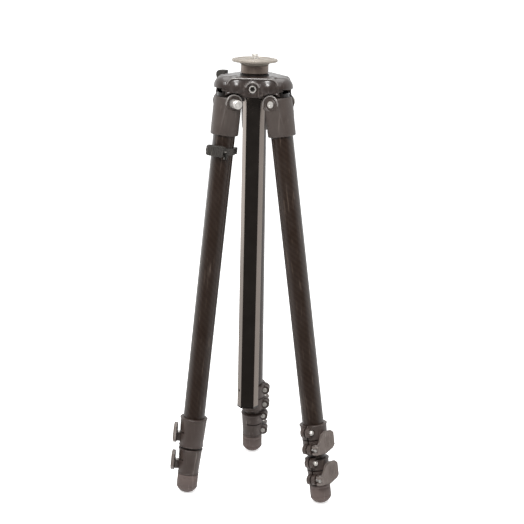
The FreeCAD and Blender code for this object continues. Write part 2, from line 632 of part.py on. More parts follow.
def column_bush():
    """Plastic sleeve between casting and column, with a round flange on top."""
    sleeve = prism(column_plan(BUSH_WALL + RUNNING), SHOULDER_BOTTOM + 1, SHOULDER_TOP)
    flange = upright(BUSH_FLANGE_RADIUS, SHOULDER_TOP, SHOULDER_TOP + BUSH_FLANGE_HEIGHT)
    solid = joined([sleeve, flange])
    return solid.cut(prism(column_plan(RUNNING), SHOULDER_BOTTOM - 1, PLATE_TOP))


def front_bolt():
    """Hexagon socket bolt that sets the column's friction."""
    seat = WEB_FACE - WEB_RECESS - FRONT_BOLT_HEAD + 1
    tip = COLUMN_FACE + BUSH_WALL + RUNNING + 0.3
    bolt = joined([along(FRONT_BOLT_HEAD_RADIUS, seat, seat + FRONT_BOLT_HEAD, 0, BOLT_HEIGHT),
                   along(FRONT_BOLT_RADIUS, tip, seat, 0, BOLT_HEIGHT)])
    recess = prism(hexagon(FRONT_BOLT_SOCKET), 0, FRONT_BOLT_HEAD)
    recess.rotate(Vec(), Vec(0, 1, 0), 90)
    recess = moved(recess, seat + 1.2, 0, BOLT_HEIGHT)
    return turn_z(bolt.cut(recess), 270)


def lock_knob():
    """Wing knob on the screw that locks the column."""
    start = WEB_FACE + 0.8
    tip = COLUMN_FACE + BUSH_WALL + RUNNING + FREE
    screw = along(KNOB_SCREW_RADIUS, tip, start + 2, 0, BOLT_HEIGHT)
    hub = along(KNOB_HUB_RADIUS, start, start + KNOB_LENGTH * 0.55, 0, BOLT_HEIGHT)
    half = KNOB_WING_THICKNESS / 2
    low = start + KNOB_LENGTH * 0.3
    wing = block((low, start + KNOB_LENGTH), (-half, half),
                 (BOLT_HEIGHT - KNOB_WING, BOLT_HEIGHT + KNOB_WING))
    ends = [e for e in wing.Edges if abs(e.BoundBox.YLength - KNOB_WING_THICKNESS) < 0.01
            and e.BoundBox.XMin > low + 1]
    wing = wing.makeFillet(6.0, ends)
    sweep = along(KNOB_WING, low, start + KNOB_LENGTH, 0, BOLT_HEIGHT)
    return turn_z(joined([screw, hub, wing.common(sweep)]), 150)


def column_tube():
    top = PLATE_TOP - PLATE_FLANGE - PLATE_BOSS_HEIGHT
    outer = prism(column_plan(), COLUMN_BOTTOM + CAP_FLANGE, top)
    solid = outer.cut(prism(column_plan(-COLUMN_WALL), COLUMN_BOTTOM, top + 1))
    hole = along(COLUMN_HOLE_RADIUS, 8, 20, 0, COLUMN_BOTTOM + COLUMN_HOLE_RISE)
    return solid.cut(turn_z(hole, AZIMUTH["left"]))


def column_end_cap():
    flange = prism(column_plan(), COLUMN_BOTTOM, COLUMN_BOTTOM + CAP_FLANGE)
    plug = prism(column_plan(-COLUMN_WALL - SEATED), COLUMN_BOTTOM + 1,
                 COLUMN_BOTTOM + CAP_FLANGE + CAP_DEPTH)
    return joined([flange, plug])


def column_neck():
    """Metal sleeve round the column's top, under the head plate."""
    low = SHOULDER_TOP + BUSH_FLANGE_HEIGHT + 0.3
    high = PLATE_TOP - PLATE_FLANGE - PLATE_BOSS_HEIGHT
    solid = turned([(0, low), (NECK_RADIUS - 0.8, low), (NECK_RADIUS, low + 0.8),
                    (NECK_RADIUS, high), (0, high)])
    return solid.cut(prism(column_plan(SEATED), low - 1, high + 1))


def top_plate():
    low = PLATE_TOP - PLATE_FLANGE - PLATE_BOSS_HEIGHT
    flange_low = PLATE_TOP - PLATE_FLANGE
    solid = turned([(0, low), (PLATE_BOSS_RADIUS - 2.5, low), (PLATE_BOSS_RADIUS, flange_low - 1.5),
                    (PLATE_BOSS_RADIUS + 3.0, flange_low),
                    (PLATE_RADIUS, flange_low), (PLATE_RADIUS, PLATE_TOP - 0.6),
                    (PLATE_RADIUS - 0.6, PLATE_TOP), (0, PLATE_TOP)])
    groove = turned([(PLATE_GROOVE_RADIUS - PLATE_GROOVE_WIDTH / 2, PLATE_TOP + 1),
                     (PLATE_GROOVE_RADIUS - PLATE_GROOVE_WIDTH / 2, PLATE_TOP - PLATE_GROOVE_DEPTH),
                     (PLATE_GROOVE_RADIUS + PLATE_GROOVE_WIDTH / 2, PLATE_TOP - PLATE_GROOVE_DEPTH),
                     (PLATE_GROOVE_RADIUS + PLATE_GROOVE_WIDTH / 2, PLATE_TOP + 1)])
    solid = solid.cut(groove)
    for angle in (30, 150, 270):
        hole = upright(SET_SCREW_RADIUS + SEATED, low - 1, PLATE_TOP + 1, SET_SCREW_CIRCLE)
        solid = solid.cut(turn_z(hole, angle))
    solid = solid.cut(upright(SCREW_RADIUS + SCREW_RECESS_CLEARANCE,
                              PLATE_TOP - SCREW_RECESS_DEPTH, PLATE_TOP + 1))
    return solid.cut(upright(SCREW_SHANK_RADIUS + SEATED, low - 1, PLATE_TOP + 1))


def head_screw():
    low = PLATE_TOP - PLATE_FLANGE - PLATE_BOSS_HEIGHT
    high = PLATE_TOP + SCREW_RISE
    thread = PLATE_TOP + SCREW_RELIEF
    return turned([(0, low), (SCREW_SHANK_RADIUS, low), (SCREW_SHANK_RADIUS, thread),
                   (SCREW_RADIUS, thread), (SCREW_RADIUS, high - 0.9),
                   (SCREW_RADIUS - 0.9, high), (0, high)])


def plate_set_screws():
    """Small screws up through the plate that keep a head from unscrewing."""
    low = PLATE_TOP - PLATE_FLANGE + 0.1
    screws = []
    for angle in (30, 150, 270):
        screw = upright(SET_SCREW_RADIUS, low, low + SET_SCREW_LENGTH, SET_SCREW_CIRCLE)
        recess = moved(prism(hexagon(SET_SCREW_RADIUS), low - 1, low + 1.5), SET_SCREW_CIRCLE)
        screws.append(turn_z(screw.cut(recess), angle))
    return Part.makeCompound(screws)


def export(name, shape):
    shape.exportStep(os.path.join("parts", name + ".step"))


def main():
    os.makedirs("parts", exist_ok=True)
    for leg in AZIMUTH:
        drop = {"upper": 0.0, "middle": draw_out(leg), "lower": draw_out(leg)}
        for name, section, shape in leg_pieces():
            export(f"{leg}_{name}", seat_leg(shape, leg, drop[section]))
    export("tool_clip", seat_leg(tool_clip(), "left"))
    export("leg_tool", seat_leg(leg_tool(), "left"))
    for name, make in (("shoulder", shoulder), ("column_bush", column_bush),
                       ("front_bolt", front_bolt), ("column_lock_knob", lock_knob),
                       ("column_tube", column_tube), ("column_end_cap", column_end_cap),
                       ("column_neck", column_neck), ("top_plate", top_plate),
                       ("head_screw", head_screw), ("plate_set_screws", plate_set_screws)):
        export(name, make())


main()
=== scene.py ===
"""Looks of a three-section camera tripod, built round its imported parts.

Sizes are in millimetres in the classes below, and in metres in Blender. Each leg's
pieces are built in a frame of its own: the hinge pin is Y, +X points away from the
column and the leg runs down along -Z, as its joints say.
"""
import json
import logging
import math
from dataclasses import dataclass, field
from enum import Enum
from typing import Callable, Iterable, Sequence, Union

import bmesh
import bpy
import numpy as np
from mathutils import Matrix, Vector


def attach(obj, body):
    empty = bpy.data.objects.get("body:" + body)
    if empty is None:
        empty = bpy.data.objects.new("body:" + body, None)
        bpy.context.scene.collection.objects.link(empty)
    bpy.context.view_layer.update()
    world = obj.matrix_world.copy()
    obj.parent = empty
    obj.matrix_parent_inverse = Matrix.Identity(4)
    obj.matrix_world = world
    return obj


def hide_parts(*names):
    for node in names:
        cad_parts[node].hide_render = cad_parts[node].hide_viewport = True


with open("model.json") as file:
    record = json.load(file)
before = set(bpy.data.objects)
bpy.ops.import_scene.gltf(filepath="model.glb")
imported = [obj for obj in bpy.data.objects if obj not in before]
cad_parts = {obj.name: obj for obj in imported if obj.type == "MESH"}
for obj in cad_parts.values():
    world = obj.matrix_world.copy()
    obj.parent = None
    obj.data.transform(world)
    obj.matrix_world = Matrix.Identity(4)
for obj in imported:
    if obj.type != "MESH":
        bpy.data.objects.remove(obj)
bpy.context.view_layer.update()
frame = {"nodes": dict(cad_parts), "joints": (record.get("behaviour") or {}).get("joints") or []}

LOG = logging.getLogger("tripod")
MM = 0.001
ROUND_COUNT = 48             # points round a plain turned piece
CAST_SMOOTH = 60.0          # edges of a casting sharper than this many degrees stay sharp
FAR = 9.0                   # keeps a cast detail out of the places that haven't got it
TOWS = 44                   # of about 2 mm, round the widest tube
CLOUDS = 55.0               # clouds of colour to the metre
RUBS = (420.0, 420.0, 26.0)     # rubs to the metre, long and thin along the piece
RUB_FROM, RUB_FULL = 0.60, 0.74     # noise at which a rub starts and is whole
WEAVE_TINT = 0.03           # share of the pale colour on the tows that run one way
TIP = 0.45                  # share of a bead's radius at its very ends
TAPER = 0.3                 # share that it gains with each point from there
Point = tuple[float, float]
Radius = Union[float, Callable[[float], float]]
Skin = tuple[np.ndarray, np.ndarray]


# ------------------------------------------------------------------ colour and nodes

def linear(colour: str) -> tuple[float, float, float, float]:
    """Turn an sRGB hex colour into linear light.

    Args:
        colour: six hex digits with a leading hash.

    Returns:
        Red, green, blue and an alpha of one.
    """
    parts = [int(colour[k:k + 2], 16) / 255 for k in (1, 3, 5)]
    return tuple(c / 12.92 if c <= 0.04045 else ((c + 0.055) / 1.055) ** 2.4
                 for c in parts) + (1.0,)


def add_node(tree: bpy.types.NodeTree, kind: str, inputs: dict | None = None,
             **settings: object) -> bpy.types.Node:
    """Add a node with its settings and links.

    Args:
        tree: the node tree.
        kind: the node's type name.
        inputs: socket name or number to a value, or to the output that feeds it.
        settings: the node's own properties.

    Returns:
        The new node.
    """
    node = tree.nodes.new(kind)
    for name, value in settings.items():
        setattr(node, name, value)
    for name, value in (inputs or {}).items():
        if isinstance(value, bpy.types.NodeSocket):
            tree.links.new(value, node.inputs[name])
        else:
            node.inputs[name].default_value = value
    return node


# ------------------------------------------------------------------ finishes

class Texture(Enum):
    """How a surface was made, which decides its fine relief."""

    SPRAYED = "enamel over a die casting, with the orange peel of sprayed paint"
    DRAWN = "lines along Z, from drawing or pultrusion"
    TURNED = "rings round Z, from a lathe"
    WOVEN = "twill weave wrapped round Z"
    MOULDED = "the even grain of a spark-eroded mould"


@dataclass(frozen=True)
class Finish:
    """One real finish.

    Attributes:
        name: the material's common name and how it was finished.
        texture: how its surface was made.
        colour: its colour where it is clean.
        shade: the colour of its darker clouds.
        worn: the colour of rubs and dust on it.
        wear: share of the rubs' colour, from 0 to 1.
        roughness: mean roughness.
        spread: how far the roughness wanders to each side.
        grain: size of the relief's grain in millimetres.
        relief: depth of the relief in millimetres.
        metallic: 1 for bare or anodised metal.
        ior: index of refraction, left alone on metal.
        coat: weight of a clear coat.
        coat_roughness: roughness of that coat.
        specular: specular level, 0.5 for the plain surface of its index.
    """

    name: str
    texture: Texture
    colour: str
    shade: str
    worn: str
    wear: float
    roughness: float
    spread: float
    grain: float
    relief: float
    metallic: float = 0.0
    ior: float = 1.5
    coat: float = 0.0
    coat_roughness: float = 0.1
    specular: float = 0.5

    def relief_height(self, tree: bpy.types.NodeTree,
                      place: bpy.types.NodeSocket) -> bpy.types.NodeSocket:
        """Build the relief pattern.

        Args:
            tree: the material's node tree.
            place: the position in the piece's own frame, in metres.

        Returns:
            A height from 0 to 1.
        """
        scale = 1 / (self.grain * MM)
        if self.texture is Texture.DRAWN:
            squeezed = add_node(tree, "ShaderNodeVectorMath",
                                {0: place, 1: (scale, scale, scale / 90)}, operation="MULTIPLY")
            return add_node(tree, "ShaderNodeTexNoise", {
                "Vector": squeezed.outputs[0], "Scale": 1.0, "Detail": 3.0}).outputs[0]
        if self.texture is Texture.TURNED:
            parts = add_node(tree, "ShaderNodeSeparateXYZ", {0: place})
            flat = add_node(tree, "ShaderNodeCombineXYZ",
                            {0: parts.outputs[0], 1: parts.outputs[1]})
            reach = add_node(tree, "ShaderNodeVectorMath", {0: flat.outputs[0]},
                             operation="LENGTH")
            total = add_node(tree, "ShaderNodeMath",
                             {0: reach.outputs["Value"], 1: parts.outputs[2]}, operation="ADD")
            turns = add_node(tree, "ShaderNodeMath", {0: total.outputs[0], 1: scale * math.tau},
                             operation="MULTIPLY")
            return add_node(tree, "ShaderNodeMath", {0: turns.outputs[0]},
                            operation="SINE").outputs[0]
        if self.texture is Texture.WOVEN:
            return self.twill(tree, place)
        detail = 1.0 if self.texture is Texture.SPRAYED else 5.0
        return add_node(tree, "ShaderNodeTexNoise", {
            "Vector": place, "Scale": scale, "Detail": detail}).outputs[0]

    def twill(self, tree: bpy.types.NodeTree,
              place: bpy.types.NodeSocket) -> bpy.types.NodeSocket:
        """Build a two-over, two-under weave wrapped round Z.

        Args:
            tree: the material's node tree.
            place: the position in the tube's own frame, in metres.

        Returns:
            1 on the tows that run one way and 0 on the others.
        """
        parts = add_node(tree, "ShaderNodeSeparateXYZ", {0: place})
        angle = add_node(tree, "ShaderNodeMath",
                         {0: parts.outputs[1], 1: parts.outputs[0]}, operation="ARCTAN2")
        around = add_node(tree, "ShaderNodeMath", {0: angle.outputs[0], 1: TOWS / math.tau},
                          operation="MULTIPLY")
        along = add_node(tree, "ShaderNodeMath",
                         {0: parts.outputs[2], 1: 1 / (self.grain * MM)}, operation="MULTIPLY")
        steps = [add_node(tree, "ShaderNodeMath", {0: node.outputs[0]}, operation="FLOOR")
                 for node in (around, along)]
        total = add_node(tree, "ShaderNodeMath",
                         {0: steps[0].outputs[0], 1: steps[1].outputs[0]}, operation="ADD")
        four = add_node(tree, "ShaderNodeMath", {0: total.outputs[0], 1: 4.0},
                        operation="FLOORED_MODULO")
        return add_node(tree, "ShaderNodeMath", {0: four.outputs[0], 1: 1.5},
                        operation="LESS_THAN").outputs[0]

    def material(self, own: Matrix | None = None) -> bpy.types.Material:
        """Build the node material.

        Args:
            own: the piece's own frame in the row frame, or None where they are the same.

        Returns:
            The material, made once for each frame.
        """
        label = self.name if own is None else f"{self.name} {own.translation.x:+.4f}"
        if label in bpy.data.materials:
            return bpy.data.materials[label]
        made = bpy.data.materials.new(label)
        made.use_nodes = True
        tree = made.node_tree
        tree.nodes.clear()
        source = add_node(tree, "ShaderNodeTexCoord").outputs["Object"]
        if own is not None:
            inverse = own.inverted()
            source = add_node(tree, "ShaderNodeMapping", {
                "Vector": source, "Location": inverse.translation,
                "Rotation": inverse.to_euler("XYZ")}, vector_type="POINT").outputs[0]
        clouds = add_node(tree, "ShaderNodeTexNoise",
                          {"Vector": source, "Scale": CLOUDS, "Detail": 4.0})
        tint = add_node(tree, "ShaderNodeMix", {
            "Factor": clouds.outputs[0], 6: linear(self.shade), 7: linear(self.colour)},
            data_type="RGBA")
        height = self.relief_height(tree, source)
        base = tint.outputs[2]
        if self.texture is Texture.WOVEN:
            light = add_node(tree, "ShaderNodeMath", {0: height, 1: WEAVE_TINT},
                             operation="MULTIPLY")
            base = add_node(tree, "ShaderNodeMix", {
                "Factor": light.outputs[0], 6: base, 7: linear(self.worn)},
                data_type="RGBA").outputs[2]
        stretched = add_node(tree, "ShaderNodeVectorMath",
                             {0: source, 1: RUBS}, operation="MULTIPLY")
        rubs = add_node(tree, "ShaderNodeTexNoise",
                        {"Vector": stretched.outputs[0], "Scale": 1.0, "Detail": 6.0})
        places = add_node(tree, "ShaderNodeMapRange", {
            "Value": rubs.outputs[0], 1: RUB_FROM, 2: RUB_FULL, 3: 0.0, 4: self.wear})
        base = add_node(tree, "ShaderNodeMix", {
            "Factor": places.outputs[0], 6: base, 7: linear(self.worn)},
            data_type="RGBA").outputs[2]
        rough = add_node(tree, "ShaderNodeMapRange", {
            "Value": clouds.outputs[0], 1: 0.3, 2: 0.7,
            3: self.roughness - self.spread, 4: self.roughness + self.spread})
        bump = add_node(tree, "ShaderNodeBump", {
            "Height": height, "Strength": 1.0, "Distance": self.relief * MM})
        settings = {"Base Color": base, "Roughness": rough.outputs[0],
                    "Normal": bump.outputs[0], "Metallic": self.metallic,
                    "Coat Weight": self.coat, "Coat Roughness": self.coat_roughness}
        if self.metallic < 1.0:
            settings["IOR"] = self.ior
            settings["Specular IOR Level"] = self.specular
        shader = add_node(tree, "ShaderNodeBsdfPrincipled", settings)
        add_node(tree, "ShaderNodeOutputMaterial", {"Surface": shader.outputs[0]})
        return made


# Gloss enamel on the shoulder: deep black with sharp soft-box highlights.
GLOSS_ENAMEL = Finish("gloss enamel on a die casting", Texture.SPRAYED, "#352b27", "#2a2320",
                      "#8d837b", 0.22, 0.36, 0.05, 1.6, 0.020, coat=0.55, coat_roughness=0.20)
# The same enamel in a much paler colour on raised rims: a painted highlight along them.
RIM_HIGHLIGHT_ENAMEL = Finish("enamel rim with painted highlight", Texture.SPRAYED, "#7b7673", "#5b5653",
                       "#b8b3af", 0.35, 0.24, 0.05, 1.6, 0.012, coat=0.8, coat_roughness=0.12)
# Satin enamel on the leg castings: greyer, because it scatters the light.
SATIN_ENAMEL = Finish("satin enamel on a die casting", Texture.SPRAYED, "#483f3a", "#3a322e",
                      "#857b73", 0.30, 0.44, 0.06, 1.2, 0.028, ior=1.52)
# The same enamel on the section locks, handled more, so with more rubs.
COLLAR_ENAMEL = Finish("satin enamel on a lock collar", Texture.SPRAYED, "#483d38", "#392f2b",
                       "#948a83", 0.40, 0.42, 0.07, 1.1, 0.030, ior=1.52)
# Lever wings are a lighter grey than the collars, with more rubs.
LEVER_ENAMEL = Finish("satin enamel on a lever", Texture.SPRAYED, "#6e645f", "#58504b",
                      "#b3aaa4", 0.45, 0.36, 0.07, 1.1, 0.026, ior=1.52)
# Carbon fibre in clear epoxy: brown black, a faint weave, long pale rubs.
CARBON = Finish("woven carbon fibre in epoxy", Texture.WOVEN, "#281b13", "#1e130c",
                "#7a6a5e", 0.34, 0.34, 0.06, 2.1, 0.0012, coat=0.25, coat_roughness=0.2)
# Anodised aluminium column: drawn lines, mirror-like only at a low angle.
ANODISED = Finish("black anodised drawn aluminium", Texture.DRAWN, "#8b817a", "#807770",
                  "#a0968e", 0.12, 0.24, 0.03, 0.6, 0.002, metallic=1.0)
# Bronze-grey metallic paint on the neck.
NECK_PAINT = Finish("metallic paint on a turned sleeve", Texture.TURNED, "#86786e", "#766a61",
                    "#a1958c", 0.25, 0.36, 0.05, 0.7, 0.010, metallic=0.6)
# Bead-blasted and clear anodised head plate: pale, warm and matt.
PLATE = Finish("bead-blasted anodised aluminium", Texture.TURNED, "#a29a90", "#91897f",
               "#8a8078", 0.25, 0.46, 0.05, 0.9, 0.010, metallic=0.45)
# Zinc-plated steel: bright, with lathe rings.
STEEL = Finish("zinc-plated turned steel", Texture.TURNED, "#e6e3de", "#d8d4ce",
               "#a39d96", 0.15, 0.38, 0.05, 0.6, 0.003, metallic=0.7)
# Blued spring steel: dark and oily. It also makes the dark plug in the front bolt's socket, as
# painted shade.
BLUED_AND_SOCKET_SHADE = Finish("blued spring steel", Texture.DRAWN, "#6c6965", "#54514e",
               "#a29d97", 0.25, 0.32, 0.05, 0.5, 0.008, metallic=1.0)
# Acetal bushes: black, smooth and slightly waxy. It also makes the black pad under each angle stop,
# as painted shade in the gap below the dome.
ACETAL_AND_GAP_SHADE = Finish("moulded acetal", Texture.MOULDED, "#1c1816", "#141110",
                "#4a4541", 0.15, 0.13, 0.04, 0.8, 0.010, ior=1.48)
# Foot rubber: matt, dusty in the grain.
RUBBER = Finish("moulded rubber", Texture.MOULDED, "#5e504b", "#4e423e",
                "#8f827b", 0.35, 0.66, 0.08, 0.7, 0.060, ior=1.52)
# Textured nylon knob and clip.
KNOB_NYLON = Finish("spark-textured nylon", Texture.MOULDED, "#37332f", "#292622",
                    "#6b6560", 0.30, 0.52, 0.07, 0.8, 0.070, ior=1.53)
CLIP_NYLON = Finish("ribbed nylon", Texture.MOULDED, "#3b3733", "#2d2a27",
                    "#7b756f", 0.35, 0.46, 0.07, 0.8, 0.050, ior=1.53)


# ------------------------------------------------------------------ mesh building

def ring_of(flats: float) -> Callable[[float], float]:
    """Radius of a hexagon with rounded corners, by angle.

    Args:
        flats: distance across its flats.

    Returns:
        A function from an angle to a radius.
    """
    def radius(angle: float) -> float:
        """Distance to the hexagon's edge, cut off a little at its corners."""
        off = (angle % (math.pi / 3)) - math.pi / 6
        return min(flats / 2 / math.cos(off), flats * 0.565)
    return radius


def put_piece(name: str, data: bpy.types.Mesh, material: bpy.types.Material, body: str,
              stands_for: Sequence[str], smooth: float) -> bpy.types.Object:
    """Make an object of a mesh and let it ride on a body.

    Args:
        name: the piece's name.
        data: its mesh, in metres of the row frame.
        material: its material.
        body: the body it moves with.
        stands_for: CAD nodes that it replaces.
        smooth: edges sharper than this many degrees stay sharp.

    Returns:
        The new object.
    """
    data.polygons.foreach_set("use_smooth", [True] * len(data.polygons))
    data.set_sharp_from_angle(angle=math.radians(smooth))
    data.materials.append(material)
    made = bpy.data.objects.new(name, data)
    bpy.context.scene.collection.objects.link(made)
    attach(made, body)
    if stands_for:
        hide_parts(*stands_for)
    LOG.info("%s: %d faces on %s", name, len(data.polygons), body)
    return made


class Shell:
    """Collects closed surfaces in one mesh, in millimetres of a local frame."""

    def __init__(self, place: Matrix) -> None:
        """Start an empty mesh in the frame `place`, which maps millimetres to metres."""
        self.mesh = bmesh.new()
        self.place = place

    def join(self, rows: Sequence[Sequence[bmesh.types.BMVert]],
             close: bool = False) -> list[bmesh.types.BMFace]:
        """Join closed rows of points, one to the next, and cap or close their ends.

        Args:
            rows: rows of as many points each.
            close: True joins the last row to the first, for a hollow ring of material.

        Returns:
            The two caps, or nothing where it is closed.
        """
        for low, high in zip(rows, rows[1:] + rows[:1] if close else rows[1:]):
            for k in range(len(low)):
                n = (k + 1) % len(low)
                self.mesh.faces.new((low[k], low[n], high[n], high[k]))
        if close:
            return []
        return [self.mesh.faces.new(rows[0][::-1]), self.mesh.faces.new(rows[-1])]

    def rings(self, loops: Sequence[tuple[Radius, float]], at: Matrix = Matrix(),
              count: int = ROUND_COUNT, close: bool = False) -> None:
        """Join rings round Z into one surface, closed by flat ends.

        Args:
            loops: each ring's radius, or its radius by angle, and its height.
            at: the frame that the rings are built in.
            count: points in each ring.
            close: True joins the last ring to the first, for a hollow ring of material.
        """
        rows = []
        for radius, height in loops:
            row = []
            for k in range(count):
                angle = math.tau * k / count
                reach = radius(angle) if callable(radius) else radius
                spot = Vector((reach * math.cos(angle), reach * math.sin(angle), height))
                row.append(self.mesh.verts.new(at @ spot))
            rows.append(row)
        self.join(rows, close)

    def prism(self, outline: Sequence[Point], low: float, high: float,
              at: Matrix = Matrix()) -> list[bmesh.types.BMFace]:
        """Raise a flat outline from low to high.

        Args:
            outline: its corners, counter-clockwise.
            low: height of the bottom.
            high: height of the top.
            at: the frame that it is built in.

        Returns:
            The bottom face and the top face.
        """
        rows = [[self.mesh.verts.new(at @ Vector((x, y, z))) for x, y in outline]
                for z in (low, high)]
        return self.join(rows)

    def bead(self, path: Sequence[Vector], radius: float, count: int = 10) -> None:
        """Run a round bead along a path, tapered to its ends.

        Args:
            path: its points.
            radius: the bead's radius.
            count: points round it.
        """
        rows = []
        side = None
        for k, spot in enumerate(path):
            ahead = path[min(k + 1, len(path) - 1)] - path[max(k - 1, 0)]
            ahead.normalize()
            if side is None:
                side = ahead.orthogonal().normalized()
            side = (side - ahead * side.dot(ahead)).normalized()
            other = ahead.cross(side)
            ends = min(k, len(path) - 1 - k)
            reach = radius * min(1.0, TIP + TAPER * ends)
            rows.append([self.mesh.verts.new(
                spot + (side * math.cos(math.tau * q / count)
                        + other * math.sin(math.tau * q / count)) * reach)
                for q in range(count)])
        self.join(rows)

    def piece(self, name: str, body: str, material: bpy.types.Material,
              stands_for: Iterable[str] = (), bevel: float = 0.0,
              smooth: float = 38.0) -> bpy.types.Object:
        """Turn the mesh into a piece that rides on a body.

        Args:
            name: the piece's name.
            body: the body it moves with.
            material: its material.
            stands_for: CAD nodes that it replaces.
            bevel: width of the rounding on its sharp edges, in millimetres.
            smooth: edges sharper than this many degrees stay sharp.

        Returns:
            The new object.
        """
        bmesh.ops.transform(self.mesh, matrix=self.place, verts=self.mesh.verts)
        bmesh.ops.recalc_face_normals(self.mesh, faces=self.mesh.faces)
        data = bpy.data.meshes.new(name)
        self.mesh.to_mesh(data)
        self.mesh.free()
        made = put_piece(name, data, material, body, list(stands_for), smooth)
        if bevel:
            edge = made.modifiers.new("rounded edges", "BEVEL")
            edge.width = bevel * MM
            edge.segments = 3
            edge.limit_method = "ANGLE"
            edge.angle_limit = math.radians(smooth)
            edge.use_clamp_overlap = True
        return made


def axis_frame(origin: Sequence[float], along: Sequence[float]) -> Matrix:
    """A frame at a point, with its Z along a direction.

    Args:
        origin: the point.
        along: the direction.

    Returns:
        The frame.
    """
    turn = Vector(along).to_track_quat("Z", "Y")
    return Matrix.Translation(Vector(origin)) @ turn.to_matrix().to_4x4()


def joint(name: str) -> dict:
    """The record's joint of that name."""
    return next(j for j in frame["joints"] if j["name"] == name)


def dress(node: str, material: bpy.types.Material) -> None:
    """Give a CAD node that stays its material.

    Args:
        node: the node's name.
        material: its material.
    """
    data = frame["nodes"][node].data
    data.materials.clear()
    data.materials.append(material)
    LOG.info("%s dressed in %s", node, material.name)


UPRIGHT = Matrix.Scale(MM, 4)


# ------------------------------------------------------------------ cast shapes

def blend(first: np.ndarray, second: np.ndarray, fillet: float) -> np.ndarray:
    """Join two shapes with a fillet.

    Args:
        first: signed distances to one shape.
        second: signed distances to the other.
        fillet: size of the fillet in millimetres.

    Returns:
        Signed distances to the joined shape.
    """
    share = np.clip(0.5 + 0.5 * (second - first) / fillet, 0.0, 1.0)
    return second + (first - second) * share - fillet * share * (1.0 - share)


def carve(shape: np.ndarray, tool: np.ndarray, fillet: float = 0.6) -> np.ndarray:
    """Cut a tool out of a shape, and round the edge that it leaves.

    Args:
        shape: signed distances to the shape.
        tool: signed distances to the tool.
        fillet: size of the rounding in millimetres.

    Returns:
        Signed distances to what remains.
    """
    return -blend(-shape, tool, fillet)


def soft_box(point: Sequence[np.ndarray], centre: Sequence[float], half: Sequence[float],
             round_: float) -> np.ndarray:
    """Signed distance to a box with rounded edges.

    Args:
        point: X, Y and Z arrays.
        centre: its centre.
        half: its half sizes.
        round_: radius of its edges.

    Returns:
        The distances.
    """
    q = [np.abs(p - c) - (h - round_) for p, c, h in zip(point, centre, half)]
    outside = np.sqrt(sum(np.maximum(v, 0.0) ** 2 for v in q))
    return outside + np.minimum(np.maximum.reduce(q), 0.0) - round_


def soft_disc(reach: np.ndarray, height: np.ndarray, radius: float, low: float, high: float,
              round_: float) -> np.ndarray:
    """Signed distance to a cylinder with rounded rims.

    Args:
        reach: distance from its axis.
        height: position along its axis.
        radius: its radius.
        low: where it starts.
        high: where it ends.
        round_: radius of its rims.

    Returns:
        The distances.
    """
    q = (reach - radius + round_, np.abs(height - (low + high) / 2) - (high - low) / 2 + round_)
    outside = np.sqrt(sum(np.maximum(v, 0.0) ** 2 for v in q))
    return outside + np.minimum(np.maximum(*q), 0.0) - round_


def skin(shape: Callable[..., np.ndarray], low: Sequence[float], high: Sequence[float],
         step: float) -> Skin:
    """Lay a quad mesh on the surface of a shape.

    Args:
        shape: gives signed distances for X, Y and Z arrays.
        low: lowest corner of the room that holds it.
        high: highest corner.
        step: size of the mesh in millimetres.

    Returns:
        The points, and the quads as point numbers.
    """
    axes = [np.arange(a, b + step, step) for a, b in zip(low, high)]
    grid = np.meshgrid(*axes, indexing="ij")
    value = shape(*grid)
    inside = value < 0
    size = [n - 1 for n in value.shape]
    total, count = np.zeros(size + [3]), np.zeros(size)
    corners = [(i, j, k) for i in (0, 1) for j in (0, 1) for k in (0, 1)]

    def at(array: np.ndarray, corner: Sequence[int]) -> np.ndarray:
        """The array as seen from one corner of every cell."""
        return array[tuple(slice(c, c + n) for c, n in zip(corner, size))]
    for first in corners:
        for axis in range(3):
            if first[axis]:
                continue
            second = tuple(c + (k == axis) for k, c in enumerate(first))
            va, vb = at(value, first), at(value, second)
            crossed = (va < 0) != (vb < 0)
            share = np.where(crossed, va / np.where(crossed, va - vb, 1.0), 0.0)
            for k in range(3):
                total[..., k] += np.where(crossed, first[k] + (share if k == axis else 0.0), 0.0)
            count += crossed
    used = count > 0
    number = np.full(size, -1)
    number[used] = np.arange(int(used.sum()))
    place = np.argwhere(used) + total[used] / count[used][:, None]
    points = place * step + np.array([a[0] for a in axes])
    quads = []
    for axis in range(3):
        one, two = [k for k in range(3) if k != axis]
        span = [slice(1, n) for n in size]
        span[axis] = slice(0, size[axis])
        ahead = list(span)
        ahead[axis] = slice(1, size[axis] + 1)
        near, far = inside[tuple(span)], inside[tuple(ahead)]
        spots = np.argwhere(near != far)
        spots[:, one] += 1
        spots[:, two] += 1
        flip = near[near != far] != (axis == 1)
        cells = []
        for da, db in ((0, 0), (1, 0), (1, 1), (0, 1)):
            cell = spots.copy()
            cell[:, one] -= da
            cell[:, two] -= db
            cells.append(number[tuple(cell.T)])
        quad = np.stack(cells, axis=1)
        quad[flip] = quad[flip][:, ::-1]
        quads.append(quad)
    return points, np.concatenate(quads)


def cast(name: str, mesh: Skin, place: Matrix, body: str,
         material: bpy.types.Material, stands_for: Sequence[str] = ()) -> bpy.types.Object:
    """Turn a skin into a piece that rides on a body.

    Args:
        name: the piece's name.
        mesh: points in millimetres, and quads.
        place: maps them to the row frame in metres.
        body: the body it moves with.
        material: its material.
        stands_for: CAD nodes that it replaces.

    Returns:
        The new object.
    """
    points, quads = mesh
    data = bpy.data.meshes.new(name)
    data.from_pydata(points.tolist(), [], quads.tolist())
    data.transform(place)
    return put_piece(name, data, material, body, stands_for, CAST_SMOOTH)


# ------------------------------------------------------------------ shoulder

